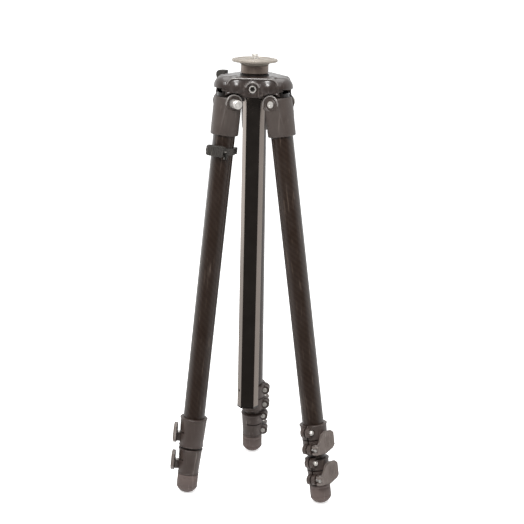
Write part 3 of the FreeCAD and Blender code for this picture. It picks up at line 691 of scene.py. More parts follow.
@dataclass
class Shoulder:
    """The casting that carries the legs, with the bolt in its front web."""

    top: float = 572.5
    bottom: float = 547.0
    hub_radius: float = 30.0
    hinge_height: float = 538.5
    hinge_radius: float = 38.5
    dome_radius: float = 18.7
    dome_low: float = 558.0
    dome_round: float = 13.5
    web_front: float = 36.3
    pillow_centre: tuple[float, float, float] = (27.4, 20.4, 559.6)
    pillow_radii: tuple[float, float, float] = (13.4, 13.6, 13.0)
    shield_half: float = 34.6
    shield_round: float = 12.0
    rim: float = 1.2
    notch_radius: float = 13.6
    notch_half: float = 31.0
    arch: float = 1.4
    hood_radius: float = 9.3
    hood: float = 1.6
    bolt_height: float = 557.7
    bolt_head_radius: float = 4.8
    lug_radius: float = 12.7
    lug_half: float = 7.45
    pocket: float = 20.9
    high_pocket: float = 25.6
    stop_room: float = 13.2
    hole_near: float = 13.45
    hole_far: float = 15.17
    mesh_step: float = 0.8
    web_back: float = 12.0
    hub_fillet: float = 5.0
    swell_fillet: float = 3.0
    high_from: float = 10.0
    pin_bore: float = 4.1
    seat_depth: float = 31.6
    lump_fillet: float = 0.8

    def web_frame(self, azimuth: float) -> Matrix:
        """The frame of a web whose front faces along the azimuth, in degrees."""
        return UPRIGHT @ Matrix.Rotation(math.radians(azimuth), 4, "Z")

    def shape(self, x: np.ndarray, y: np.ndarray, z: np.ndarray) -> np.ndarray:
        """Signed distance to the casting, from one third of it that repeats.

        Args:
            x: X in millimetres.
            y: Y in millimetres.
            z: Z in millimetres.

        Returns:
            The distances.
        """
        third, sixth = math.tau / 3, math.tau / 6
        turn = (np.arctan2(y, x) - math.pi / 2 + sixth) % third - sixth
        reach = np.hypot(x, y)
        # u runs out along the leg, v to its side; web X and Y are the same for the web beside it
        u, v = reach * np.cos(turn), np.abs(reach * np.sin(turn))
        wx = u * math.cos(sixth) + v * math.sin(sixth)
        wy = v * math.cos(sixth) - u * math.sin(sixth)
        up = z - self.hinge_height
        from_hinge = np.hypot(u - self.hinge_radius, up)
        front = wx - self.web_front
        behind = np.where(wx > 20.0, 0.0, FAR)
        # shield-shaped plate, with two swellings and a rolled rim
        shield = soft_box((wy, z), (0.0, self.top - 30.0), (self.shield_half, 29.9),
                          self.shield_round)
        plate = -blend(-np.maximum(shield, self.bottom - z), -front, 1.0)
        plate = np.maximum(plate, self.web_back - wx)
        swell = [(p - c) / r for p, c, r in zip((wx, np.abs(wy), z), self.pillow_centre,
                                                self.pillow_radii)]
        swelling = (np.sqrt(sum(q ** 2 for q in swell)) - 1.0) * min(self.pillow_radii)
        swelling = np.maximum(swelling, self.bottom - z)
        web = blend(plate, swelling, self.swell_fillet)
        rim = np.hypot(shield + self.rim, front) - self.rim
        web = blend(web, np.maximum(rim, self.bottom - z) + behind, 0.6)
        hub = soft_disc(reach, z, self.hub_radius, self.bottom, self.top, 2.5)
        dome = soft_disc(np.hypot(u - self.hinge_radius, v), z, self.dome_radius, 530.0,
                         self.top + 0.6, self.dome_round)
        dome = -blend(-dome, z - self.dome_low, 1.2)
        body = blend(blend(dome, hub, self.hub_fillet), web, self.lump_fillet)
        # rolled arch over each hinge boss, and a hood over the bolt
        arch = np.hypot(from_hinge - self.notch_radius - self.arch, front) - self.arch
        body = blend(body, np.maximum(arch, self.bottom - 0.5 - z) + behind,
                     self.lump_fillet)
        bolt = np.hypot(wy, z - self.bolt_height)
        hood = np.hypot(bolt - self.hood_radius, front) - self.hood
        body = blend(body, np.maximum(hood, self.bolt_height - 1.0 - z) + behind,
                     self.lump_fillet)
        floor = soft_box((wx, wy, z), (self.web_front + 3.2, 0.0, self.bolt_height - 9.0),
                         (4.2, self.hood_radius - 1.8, 15.5), 0.8)
        body = carve(body, floor, 0.5)
        # room for the leg's head, its cheeks, the column and the bolt
        ball = np.sqrt(from_hinge ** 2 + v ** 2)
        for room in (ball - self.pocket,
                     np.maximum.reduce([ball - self.high_pocket, self.high_from - up,
                                        v - self.stop_room]),
                     np.maximum(from_hinge - self.notch_radius, v - self.notch_half)):
            body = carve(body, room, self.lump_fillet)
        lug = np.maximum(from_hinge - self.lug_radius, v - self.lug_half)
        neck = soft_box((u, v, z), (22.4, 0.0, 551.0), (5.6, self.lug_half, 12.0), 0.6)
        body = np.minimum(body, np.minimum(lug, neck))
        body = carve(body, from_hinge - self.pin_bore, 0.2)
        body = carve(body, np.maximum(u - self.hole_far, wx - self.hole_near), 0.3)
        # the web that faces 30 degrees carries neither bolt nor knob
        plain = np.where(x * math.cos(sixth / 2) + y * math.sin(sixth / 2) > reach / 2, FAR, 0.0)
        seat = np.maximum(bolt - self.bolt_head_radius - 0.4, self.seat_depth - wx)
        return carve(body, seat + plain, 0.4)

    def build(self) -> None:
        """Build the casting and its bolt, and dress the bush."""
        mesh = skin(self.shape, (-62, -62, 524), (62, 62, 576), self.mesh_step)
        cast("shoulder_casting", mesh, UPRIGHT, "shoulder",
             GLOSS_ENAMEL.material(), ["shoulder"])
        dress("column_bush", ACETAL_AND_GAP_SHADE.material())
        self.build_rims()
        self.build_bolt()

    def build_rims(self) -> None:
        """Build the line along each web's rim and over its bolt boss, in pale enamel as a painted
        highlight.
        """
        bend, half, high = self.shield_round - self.rim, self.shield_half - self.rim, 571.4
        corner = [math.radians(90 * k / 10) for k in range(11)]
        side = [(half - bend + bend * math.cos(a), high - bend + bend * math.sin(a))
                for a in corner]
        outline = [(half, self.bottom + 4.6)] + side
        outline += [(-y, z) for y, z in reversed(outline)]
        hood = [(self.hood_radius * math.cos(a), self.bolt_height + self.hood_radius * math.sin(a))
                for a in (math.radians(5 + 170 * k / 24) for k in range(25))]
        for name, azimuth in (("front", 270), ("knob", 150), ("plain", 30)):
            shell = Shell(self.web_frame(azimuth))
            for line, reach in ((outline, self.rim - 0.25), (hood, self.hood - 0.3)):
                shell.bead([Vector((self.web_front + 0.4, y, z)) for y, z in line], reach, 12)
            shell.piece(f"{name}_web_rim_highlights", "shoulder",
                        RIM_HIGHLIGHT_ENAMEL.material())

    def build_bolt(self) -> None:
        """Build the socket-headed bolt in the front web, with a dark plug in its socket as painted
        shade.
        """
        seat = self.web_front - 3.4
        at = axis_frame((seat, 0, self.bolt_height), (1, 0, 0))
        rim, socket = self.bolt_head_radius, ring_of(6.2)
        shell = Shell(self.web_frame(270))
        shell.rings([(3.0, -18.0), (3.0, 0.0), (rim, 0.0), (rim, 3.3), (rim - 0.5, 3.9),
                     (ring_of(6.7), 3.9), (socket, 3.6), (socket, 1.0), (0.4, 0.8)], at)
        shell.piece("front_socket_bolt", "shoulder", STEEL.material(),
                    ["front_bolt"])
        # a dark hexagonal plug part way down the bolt's socket: painted shade
        shell = Shell(self.web_frame(270))
        shell.rings([(ring_of(6.1), 1.1), (ring_of(6.1), 2.4), (0.5, 2.1)], at)
        shell.piece("front_bolt_socket_shade", "shoulder", BLUED_AND_SOCKET_SHADE.material())


@dataclass
class LockKnob:
    """The wing knob that locks the column, on the web at the back left."""

    azimuth: float = 150.0
    height: float = 557.7
    start: float = 39.3
    length: float = 20.0
    wing: float = 17.5
    thickness: float = 8.0
    hub_radius: float = 8.5
    screw_radius: float = 4.0

    def outline(self) -> list[Point]:
        """The wing's outline: distance along the screw and height from it.

        Returns:
            Its corners, counter-clockwise.
        """
        near, far, round_ = self.length * 0.3, self.length, 6.0
        points = [(near, -self.wing)]
        points += [(far - round_ + round_ * math.sin(a), -self.wing + round_ - round_ * math.cos(a))
                   for a in (math.radians(15 * k) for k in range(7))]
        points += [(far - 1.6 * math.cos(a), self.wing * 0.55 * math.sin(a))
                   for a in (math.radians(-80 + 20 * k) for k in range(9))]
        points += [(far - round_ + round_ * math.cos(a), self.wing - round_ + round_ * math.sin(a))
                   for a in (math.radians(15 * k) for k in range(7))]
        points += [(near, self.wing)]
        return points

    def build(self) -> None:
        """Build hub, wing and screw as one piece."""
        shell = Shell(UPRIGHT @ Matrix.Rotation(math.radians(self.azimuth), 4, "Z"))
        at = axis_frame((self.start, 0, self.height), (1, 0, 0))

        def fluted(angle: float) -> float:
            """Radius of the hub between its grip flutes."""
            return self.hub_radius - 0.35 + 0.35 * math.cos(12 * angle)
        shell.rings([(self.screw_radius, -24.0), (self.screw_radius, 0.0),
                     (self.hub_radius - 0.8, 0.0), (fluted, 0.8),
                     (fluted, self.length * 0.52), (self.hub_radius - 1.2, self.length * 0.56)],
                    at, 72)
        half = self.thickness / 2
        flat = Matrix.Translation((self.start, 0, self.height)) @ Matrix.Rotation(
            math.pi / 2, 4, "X")
        shell.prism(self.outline(), -half, half, flat)
        for k in range(7):
            level = -self.wing + 5.5 + k * (2 * self.wing - 11.0) / 6
            if abs(level) < self.hub_radius - 3:
                continue
            for side in (-1, 1):
                shell.bead([Vector((self.start + x, side * half, self.height + level))
                            for x in (8.0, 10.0, 12.0, 14.0, 16.0, 17.5)], 0.7, 8)
        shell.piece("column_lock_wing_knob", "column_lock_knob",
                    KNOB_NYLON.material(), ["column_lock_knob"], bevel=0.7)


# ------------------------------------------------------------------ column and head plate

@dataclass
class Column:
    """The six-sided centre column with its end cap and neck."""

    long_side: float = 17.6
    short_side: float = 11.6
    wall: float = 1.6
    bottom: float = 114.6
    top: float = 585.6
    corner: float = 1.1
    hole_height: float = 136.8
    hole_radius: float = 1.75

    def plan(self, grow: float, corner: float) -> list[Point]:
        """The section's outline with rounded corners.

        Args:
            grow: how far its faces are moved out.
            corner: radius of the corners.

        Returns:
            Its points, counter-clockwise.
        """
        side = self.long_side + 2 * self.short_side
        far = side * math.sqrt(3) / 6 + grow
        near = side / math.sqrt(3) - self.short_side * math.sqrt(3) / 2 + grow
        points = []
        for k in range(6):
            first, second = (far, near) if k % 2 == 0 else (near, far)
            first, second = first - corner, second - corner
            angle = math.radians(30 + 60 * k)
            run = (second - first * 0.5) / math.sin(math.radians(60))
            x = first * math.cos(angle) - run * math.sin(angle)
            y = first * math.sin(angle) + run * math.cos(angle)
            points += [(x + corner * math.cos(angle + a), y + corner * math.sin(angle + a))
                       for a in (math.radians(60 * q / 5) for q in range(6))]
        return points

    def build(self) -> None:
        """Build the tube, and dress the neck and the end cap."""
        shell = Shell(UPRIGHT)
        outer, inner = self.plan(0.0, self.corner), self.plan(-self.wall, 0.4)
        rows = [[shell.mesh.verts.new((x, y, z)) for x, y in plan]
                for plan, z in ((outer, self.bottom), (outer, self.top),
                                (inner, self.top), (inner, self.bottom))]
        shell.join(rows, close=True)
        tube = shell.piece("centre_column", "column", ANODISED.material(),
                           ["column_tube"], smooth=8.0)
        drill(tube, (0, 0, self.hole_height), 210.0, self.hole_radius)
        dress("column_neck", NECK_PAINT.material())
        dress("column_end_cap", ACETAL_AND_GAP_SHADE.material())


def drill(target: bpy.types.Object, at: Sequence[float], azimuth: float,
          radius: float) -> None:
    """Cut a round hole through the wall that faces along an azimuth.

    Args:
        target: the piece that is cut.
        at: a point on the hole's line, in millimetres.
        azimuth: direction of the hole, in degrees.
        radius: its radius.
    """
    cutter = bmesh.new()
    way = Vector((math.cos(math.radians(azimuth)), math.sin(math.radians(azimuth)), 0))
    place = UPRIGHT @ axis_frame(Vector(at) + way * 14, way)
    bmesh.ops.create_cone(cutter, cap_ends=True, segments=32, radius1=radius, radius2=radius,
                          depth=12.0, matrix=place)
    data = bpy.data.meshes.new("drill")
    cutter.to_mesh(data)
    cutter.free()
    tool = bpy.data.objects.new("drill", data)
    bpy.context.scene.collection.objects.link(tool)
    cut = target.modifiers.new("hole", "BOOLEAN")
    cut.object, cut.operation, cut.solver = tool, "DIFFERENCE", "EXACT"
    bpy.context.view_layer.update()
    done = bpy.data.meshes.new_from_object(
        target.evaluated_get(bpy.context.evaluated_depsgraph_get()))
    target.modifiers.clear()
    target.data = done
    bpy.data.objects.remove(tool)


@dataclass
class HeadPlate:
    """The round plate on the column with its camera screw."""

    top: float = 594.4
    radius: float = 30.0
    flange: float = 4.2
    boss_radius: float = 19.8
    boss_height: float = 4.6
    ridge_radius: float = 23.5
    screw_radius: float = 4.7625
    screw_rise: float = 6.2
    thread_pitch: float = 1.5875
    scallops: int = 12

    def edge(self, reach: float) -> Callable[[float], float]:
        """Radius of the notched edge by angle.

        Args:
            reach: radius between two notches.

        Returns:
            A function from an angle to a radius.
        """
        def radius(angle: float) -> float:
            """The edge's radius, drawn in where a notch is."""
            wave = math.cos(self.scallops * angle)
            return reach - 0.9 * max(0.0, wave - 0.55) / 0.45
        return radius

    def build(self) -> None:
        """Build plate and screw, and dress the small screws."""
        under = self.top - self.flange
        low = under - self.boss_height
        edge, r = self.edge, self.ridge_radius
        shell = Shell(UPRIGHT)
        shell.rings([
            (14.0, low), (self.boss_radius - 2.5, low), (self.boss_radius - 0.6, low + 1.6),
            (self.boss_radius, under - 1.5), (self.boss_radius + 3.0, under),
            (edge(self.radius - 0.7), under), (edge(self.radius), under + 0.7),
            (edge(self.radius), self.top - 1.6), (edge(self.radius - 0.5), self.top - 0.9),
            (r + 4.2, self.top - 0.7), (r + 1.6, self.top - 0.7), (r + 1.1, self.top),
            (r - 1.1, self.top), (r - 1.6, self.top - 0.9), (13.0, self.top - 0.9),
            (12.4, self.top - 0.2), (7.4, self.top - 0.2), (6.8, self.top - 0.8),
            (5.2, self.top - 0.8), (5.2, low)], count=288, close=True)
        shell.piece("head_plate", "column", PLATE.material(),
                    ["top_plate"], bevel=0.15, smooth=30.0)
        self.build_screw()
        dress("plate_set_screws", STEEL.material())

    def build_screw(self) -> None:
        """Build the camera screw with its 16 threads to the inch."""
        shell = Shell(UPRIGHT)
        depth = 0.54 * self.thread_pitch
        high = self.top + self.screw_rise
        low = self.top - 6.0
        steps = int((high - low) / self.thread_pitch * 12)

        def thread(z: float) -> Callable[[float], float]:
            """Radius of the thread by angle at one height."""
            def radius(angle: float) -> float:
                """Distance to the thread's flank."""
                turn = ((z - low) / self.thread_pitch - angle / math.tau) % 1.0
                flank = min(abs(turn - 0.5) * 2.2, 1.0)
                tip = min(1.0, max(0.0, (high - z) / 1.1))
                return self.screw_radius - depth * max(flank, (1 - tip) * 1.2)
            return radius
        loops = [(thread(low + (high - low) * k / steps), low + (high - low) * k / steps)
                 for k in range(steps + 1)]
        loops += [(3.0, high), (ring_of(3.0), high - 0.1), (ring_of(3.0), high - 2.4)]
        shell.rings(loops, count=64)
        shell.piece("camera_screw", "column", STEEL.material(),
                    ["head_screw"], smooth=50.0)


# ------------------------------------------------------------------ legs

@dataclass
class SectionLock:
    """Trim, bolts and lever of one split collar."""

    leg: str
    lock: str
    section: str
    place: Matrix
    height: float
    top_radius: float
    lever_rise: float = 8.6
    clamp_rise: float = 32.2
    taper: float = 2.1
    ear_half: float = 6.2
    head_sink: float = 2.0
    hub_radius: float = 5.6
    hub_half: float = 6.0
    wing_angle: float = 60.0
    wing_thickness: float = 4.6
    wing_length: float = 26.0
    wing_top: float = 24.0
    pin: Vector = field(default_factory=Vector)

    def __post_init__(self) -> None:
        """Read the lever pin's place from its joint."""
        spot = Vector(joint(f"{self.leg}_{self.lock}_lever_flip")["pos_m"])
        self.pin = self.place.inverted() @ spot

    @property
    def base(self) -> float:
        """Height of the collar's lower end in the leg's frame."""
        return self.pin.z - self.lever_rise

    def build_trim(self) -> None:
        """Build the rolled rims at both ends of the collar, open at its slit."""
        shell = Shell(self.place)
        for level, reach, bead in ((self.height - 1.0, self.top_radius - 0.2, 0.9),
                                   (1.0, self.top_radius - self.taper - 0.1, 0.8)):
            path = [Vector((reach * math.cos(a), reach * math.sin(a), self.base + level))
                    for a in (math.radians(-68 + 316 * k / 90) for k in range(91))]
            shell.bead(path, bead)
        shell.piece(f"{self.leg}_{self.lock}_collar_rims", self.section,
                    COLLAR_ENAMEL.material())

    def build_bolts(self) -> None:
        """Build the clamp bolt, its nut, the lever bolt with its eye, and the pin."""
        shell = Shell(self.place)
        seat = self.head_sink - self.ear_half
        levels = (self.base + self.clamp_rise, self.pin.z)
        tips = (self.ear_half + 3.6, self.pin.x)
        for level, tip in zip(levels, tips):
            at = axis_frame((seat, self.pin.y, level), (-1, 0, 0))
            shell.rings([(2.0, seat - tip), (2.0, 0.0), (3.2, 0.0), (3.2, 2.7), (2.7, 3.4),
                         (ring_of(3.3), 3.4), (ring_of(3.0), 3.1), (ring_of(3.0), 1.4),
                         (0.3, 1.2)], at, 36)
        at = axis_frame((self.ear_half, self.pin.y, levels[0]), (1, 0, 0))
        shell.rings([(ring_of(6.0), 0.0), (ring_of(6.0), 2.5), (2.8, 3.0), (2.1, 3.0),
                     (2.1, 0.0)], at, 36, close=True)
        at = Matrix.Translation(self.pin)
        shell.rings([(2.6, -2.5), (3.0, -2.1), (3.0, 2.1), (2.6, 2.5)], at, 32)
        half = self.hub_half
        shell.rings([(1.2, -half - 0.25), (1.6, -half), (1.6, half), (1.2, half + 0.25)],
                    at, 24)
        shell.piece(f"{self.leg}_{self.lock}_lock_screws", self.section,
                    STEEL.material(), [f"{self.leg}_{self.lock}_bolts"])

    def build_lever(self) -> None:
        """Build the flip lever: a slotted hub and a fan-shaped, ribbed wing."""
        shell = Shell(self.place)
        at = Matrix.Translation(self.pin)
        half, hub, length = self.hub_half, self.hub_radius, self.wing_length
        for low, high in ((-half, -2.9), (2.9, half)):
            shell.rings([(hub - 0.5, low), (hub, low + 0.5), (hub, high - 0.5),
                         (hub - 0.5, high)], at, 40)
        arc = [math.radians(-40 + 200 * k / 16) for k in range(17)]
        keep = [(hub * math.cos(a), hub * math.sin(a)) for a in arc]
        keep += [(3.4 * math.cos(a), 3.4 * math.sin(a)) for a in reversed(arc)]
        shell.prism(keep, -3.0, 3.0, at)
        outline = [(0.8, -half), (length * 0.45, -half), (length - 3.0, 0.0),
                   (length, 4.0), (length, self.wing_top - 3.0),
                   (length - 3.0, self.wing_top), (length * 0.52, self.wing_top),
                   (length * 0.3, self.wing_top - 3.6), (length * 0.14, half + 4.0),
                   (0.8, half)]
        turn = Matrix.Rotation(math.radians(self.wing_angle), 4, "Z")
        flat = at @ turn @ Matrix.Rotation(math.pi / 2, 4, "X")
        inner = hub - self.wing_thickness
        back, front = shell.prism(outline, inner, hub, flat)
        # a sunk panel on the outer face, and a deeper one inside
        for face, frame_width, sink in ((front, 2.2, -0.8), (back, 2.4, 1.6)):
            bmesh.ops.inset_individual(shell.mesh, faces=[face], thickness=frame_width,
                                       depth=0.0)
            bmesh.ops.translate(shell.mesh, verts=face.verts,
                                vec=(flat.to_3x3() @ Vector((0, 0, sink))))
        for k in range(5):
            across = length * (0.50 + 0.085 * k)
            low = 1.5 if k < 4 else 4.5
            shell.bead([flat @ Vector((across, low + (self.wing_top - 4.6 - low) * q / 6,
                                       hub - 0.7)) for q in range(7)], 0.7, 8)
        shell.piece(f"{self.leg}_{self.lock}_flip_lever", f"{self.leg}_{self.lock}_lever",
                    LEVER_ENAMEL.material(),
                    [f"{self.leg}_{self.lock}_lever"], bevel=0.7, smooth=32.0)

    def build(self) -> None:
        """Build every piece of the lock and dress its collar."""
        self.build_trim()
        self.build_bolts()
        self.build_lever()
        dress(f"{self.leg}_{self.lock}_collar", COLLAR_ENAMEL.material())


@dataclass
class Foot:
    """The rubber foot with a domed tread."""

    leg: str
    place: Matrix
    bottom: float
    radius: float = 14.2
    height: float = 27.5
    ball: float = 16.0
    bore: float = 10.25

    def build(self) -> None:
        """Turn the foot: domed grooved tread, waist line and rolled top."""
        low, ball = self.bottom, self.ball
        edge = ball - math.sqrt(ball ** 2 - self.radius ** 2)
        loops = [(0.6, low + 0.02)]
        for k in range(1, 9):
            reach = self.radius * k / 8
            level = low + ball - math.sqrt(ball ** 2 - reach ** 2)
            groove = 0.55 if k in (3, 5) else 0.0
            if groove:
                loops += [(reach - 0.55, level - 0.1), (reach - 0.4, level + groove),
                          (reach + 0.4, level + groove), (reach + 0.55, level + 0.15)]
            else:
                loops.append((reach, level))
        top = low + self.height
        loops += [(self.radius, low + edge + 1.2), (self.radius - 0.35, low + edge + 1.6),
                  (self.radius - 0.35, low + edge + 2.2), (self.radius, low + edge + 2.6),
                  (self.radius, top - 5.2), (self.radius - 0.3, top - 4.9),
                  (self.radius - 0.3, top - 4.5), (self.radius, top - 4.2),
                  (self.radius, top - 1.0), (self.radius - 0.9, top), (self.bore, top),
                  (self.bore, low + 8.0)]
        shell = Shell(self.place)
        shell.rings(loops, count=96)
        shell.piece(f"{self.leg}_rubber_foot", f"{self.leg}_lower_section",
                    RUBBER.material(), [f"{self.leg}_foot"], smooth=50.0)


@dataclass(frozen=True)
class StopLayer:
    """One layer of the angle stop that stands on the outward side of a leg's head.

    Attributes:
        part: what it is.
        radius: how far it reaches from the leg's axis.
        low: its lower face.
        high: its upper face.
        start: where it begins, outward of the hinge.
        finish: its finish.
    """

    part: str
    radius: float
    low: float
    high: float
    start: float
    finish: Finish


# the pad is a black filler in the gap under the dome, dark as painted shade
STOP_LAYERS = (StopLayer("angle_stop", 16.8, 14.4, 18.4, 7.9, SATIN_ENAMEL),
               StopLayer("angle_stop_shade_pad", 15.2, 6.2, 14.8, -1.0, ACETAL_AND_GAP_SHADE))


@dataclass
class Leg:
    """One leg: socket, hinge hardware, tubes, two locks and a foot."""

    name: str
    socket_radius: float = 18.5
    cheek_half: float = 19.0
    pin_head_radius: float = 4.6
    pin_head_proud: float = 1.4
    button_radius: float = 5.8
    button_reach: float = 33.5
    button_seat: float = 15.3
    tube_radii: tuple[float, float] = (14.6, 12.4)
    collar_wall: float = 3.6
    foot_ball: float = 16.0
    socket_length: float = 43.5
    socket_head: float = 6.8
    cheek_top: float = 10.5
    cheek_foot: float = 13.0
    cheek_reach: float = 21.7
    cheek_end: float = 4.0
    boss_proud: float = 0.3
    ring_radius: float = 1.3
    ring_end: float = 7.0
    groove: float = 1.9
    button_floor: float = 10.4
    boss_radius: float = 10.6
    slot_half: float = 7.9
    stop_half: float = 12.5
    hub_room: float = 16.6
    lug_room: float = 13.2
    neck_room: float = 9.5
    socket_step: float = 0.75
    stop_step: float = 0.6
    outer_wall: float = 4.4
    tube_top: float = 16.5
    place: Matrix = field(default_factory=Matrix)
    own: Matrix = field(default_factory=Matrix)

    def __post_init__(self) -> None:
        """Read the leg's own frame from its joints."""
        swing, slide = joint(f"{self.name}_leg_swing"), joint(f"{self.name}_middle_slide")
        up = -Vector(slide["axis"])
        pin = -Vector(swing["axis"])
        out = pin.cross(up)
        turn = Matrix((out, pin, up)).transposed().to_4x4()
        self.own = Matrix.Translation(Vector(swing["pos_m"])) @ turn
        self.place = self.own @ UPRIGHT

    def socket_shape(self, x: np.ndarray, y: np.ndarray, z: np.ndarray) -> np.ndarray:
        """Signed distance to the socket casting in the leg's frame.

        Args:
            x: X in millimetres.
            y: Y in millimetres.
            z: Z in millimetres.

        Returns:
            The distances.
        """
        reach, side = np.hypot(x, y), np.abs(y)
        body = soft_disc(reach, z, self.socket_radius, -self.socket_length,
                         self.socket_head, 1.8)
        run = self.socket_length - self.cheek_end
        share = np.clip(-z / run, 0.0, 1.0)
        width = self.cheek_top + (self.cheek_foot - self.cheek_top) * share
        taper = np.clip((-z - self.cheek_end) / (run - self.cheek_end), 0, 1)
        cone = reach - (self.cheek_reach - (self.cheek_reach - self.socket_radius) * taper)
        cheek = np.maximum.reduce([side - self.cheek_half, np.abs(x) - width, cone,
                                   z, -run - z])
        body = blend(body, cheek, 1.4)
        from_pin = np.hypot(x, z)
        boss = soft_disc(from_pin, y, self.boss_radius, -self.cheek_half - self.boss_proud,
                         self.cheek_half + self.boss_proud, 1.0)
        body = blend(body, boss, 1.0)
        # rolled ring round the boss, and a sunk one round the pin's head and the button
        face = side - self.cheek_half
        ring = np.hypot(from_pin - self.boss_radius - 0.6, face - 0.2) - self.ring_radius
        body = blend(body, np.maximum(ring, -self.ring_end - z), 0.8)
        sunk = np.hypot(from_pin - self.button_radius - self.groove, face - 0.6) - self.groove
        body = carve(body, sunk, 0.4)
        # the slot runs out through the top and the inward side
        slot = soft_box((x, y, z), (self.socket_radius - self.outer_wall - 40, 0.0, 26.1),
                        (40.0, self.slot_half, 40.0), 0.5)
        body = carve(body, slot, 0.5)
        bore = np.maximum(reach - self.tube_radii[0] - 0.02, z + self.tube_top)
        body = carve(body, bore, 0.3)
        return carve(body, np.maximum(from_pin - self.button_radius - 0.2,
                                      self.button_floor - y), 0.3)

    def stop_skin(self, layer: StopLayer) -> Skin:
        """Lay a skin on one layer of the angle stop.

        Args:
            layer: its sizes.

        Returns:
            Its skin.
        """
        def shape(x: np.ndarray, y: np.ndarray, z: np.ndarray) -> np.ndarray:
            """Signed distance to a slice of a disc with rounded edges."""
            disc = soft_disc(np.hypot(x, y), z, layer.radius, layer.low, layer.high, 0.8)
            # how far inward of the hinge a point comes at full swing, with the leg at 80 degrees
            lean = z * 0.985 - x * 0.174
            body = np.maximum.reduce([disc, np.abs(y) - self.stop_half, layer.start - x,
                                      lean - self.hub_room])
            room = np.minimum(np.hypot(x, z) - self.lug_room, self.neck_room - lean)
            return carve(body, np.maximum(np.abs(y) - self.slot_half, room), 0.3)
        return skin(shape, (-2.4, -14.0, layer.low - 1.2), (18.2, 14.0, layer.high + 1.2),
                    self.stop_step)

    def skins(self) -> dict[str, Skin]:
        """Lay the skins of the castings, which all legs share.

        Returns:
            Each casting's skin in the leg's frame, by its name.
        """
        made = {"leg_socket": skin(self.socket_shape, (-21, -23, -46), (21, 23, 10),
                                   self.socket_step)}
        made.update({layer.part: self.stop_skin(layer) for layer in STOP_LAYERS})
        return made

    def build_hinge(self) -> None:
        """Build the hinge pin's head and the release button."""
        steel = STEEL.material()
        shell = Shell(self.place)
        head, half = self.pin_head_radius, self.cheek_half
        at = axis_frame((0, -half, 0), (0, -1, 0))
        proud = self.pin_head_proud
        shell.rings([(4.0, -25.5), (4.0, -2.5), (head, -2.5), (head, proud - 0.7),
                     (head - 0.3, proud - 0.2), (head - 0.9, proud), (1.6, proud + 0.05),
                     (1.2, proud - 0.25), (0.3, proud - 0.3)], at, 48)
        shell.piece(f"{self.name}_hinge_screw", f"{self.name}_leg", steel,
                    [f"{self.name}_hinge_pin"])
        shell = Shell(self.place)
        at = axis_frame((0, 0, 0), (0, 1, 0))
        body, reach = self.button_radius, self.button_reach
        shell.rings([(3.9, self.button_seat), (body, self.button_seat), (body, reach - 4.6),
                     (body - 0.35, reach - 4.3), (body - 0.35, reach - 3.7),
                     (body, reach - 3.4), (body, reach - 1.3), (body - 0.35, reach - 0.5),
                     (body - 1.1, reach - 0.05), (body - 1.9, reach), (2.3, reach - 0.1),
                     (1.6, reach - 0.6), (0.3, reach - 0.8)], at, 56)
        shell.piece(f"{self.name}_leg_release_button", f"{self.name}_release_button",
                    steel, [f"{self.name}_release_button"])
        # pale enamel beads on the rolled ring round each hinge boss: a painted highlight on the arc
        shell = Shell(self.place)
        reach, start, end = self.boss_radius + 0.6, -22, 202
        arc = [math.radians(start + (end - start) * k / 40) for k in range(41)]
        for side in (-1, 1):
            shell.bead([Vector((reach * math.cos(a), side * (half + 0.5), reach * math.sin(a)))
                        for a in arc], 1.15, 12)
        shell.piece(f"{self.name}_hinge_boss_rim_highlights", f"{self.name}_leg",
                    RIM_HIGHLIGHT_ENAMEL.material())

    def build(self, skins: dict[str, Skin]) -> None:
        """Build and dress every piece of the leg.

        Args:
            skins: the castings' skins, by name.
        """
        name = self.name
        self.build_hinge()
        cast(f"{name}_leg_socket", skins["leg_socket"], self.place, f"{name}_leg",
             SATIN_ENAMEL.material(), [f"{name}_socket"])
        for layer in STOP_LAYERS:
            cast(f"{name}_{layer.part}", skins[layer.part], self.place, f"{name}_leg",
                 layer.finish.material())
        dress(f"{name}_button_spring", BLUED_AND_SOCKET_SHADE.material())
        carbon = CARBON.material(self.own)
        for section in ("upper", "middle", "lower"):
            dress(f"{name}_{section}_tube", carbon)
        for section in ("middle", "lower"):
            dress(f"{name}_{section}_bush", ACETAL_AND_GAP_SHADE.material())
        for lock, section, height, radius in (
                ("upper", f"{name}_leg", 41.0, self.tube_radii[0]),
                ("lower", f"{name}_middle_section", 36.0, self.tube_radii[1])):
            SectionLock(name, lock, section, self.place, height,
                        radius + self.collar_wall).build()
        down = -(self.own.to_3x3() @ Vector((0, 0, 1)))
        hinge = self.own.translation.z / MM
        bottom = -((hinge - self.foot_ball) / -down.z + self.foot_ball)
        Foot(name, self.place, bottom).build()


@dataclass
class ToolClip:
    """The key clip on the left leg, with grip ribs on its tab."""

    place: Matrix
    centre: float = -64.0
    inner: float = 14.62
    tab_azimuth: float = 37.0
    tab_length: float = 25.0
    tab_height: float = 13.5
    tab_thickness: float = 8.0

    def build(self) -> None:
        """Build the ribs on the tab, and dress the clip and its key."""
        turn = Matrix.Rotation(math.radians(self.tab_azimuth), 4, "Z")
        shell = Shell(self.place @ turn)
        face = self.inner + self.tab_thickness
        half = self.tab_height / 2
        for k in range(9):
            y = -self.tab_length / 2 + 2.6 + k * (self.tab_length - 5.2) / 8
            path = [Vector((face - 4.0, y, self.centre + half)),
                    Vector((face - 0.8, y, self.centre + half)),
                    Vector((face, y, self.centre + half - 0.8)),
                    Vector((face, y, self.centre - half + 0.8)),
                    Vector((face - 0.8, y, self.centre - half)),
                    Vector((face - 4.0, y, self.centre - half))]
            shell.bead(path, 0.75, 8)
        shell.piece("tool_clip_ribs", "left_leg", CLIP_NYLON.material())
        dress("tool_clip", CLIP_NYLON.material())
        dress("leg_tool", BLUED_AND_SOCKET_SHADE.material())


# ------------------------------------------------------------------ studio

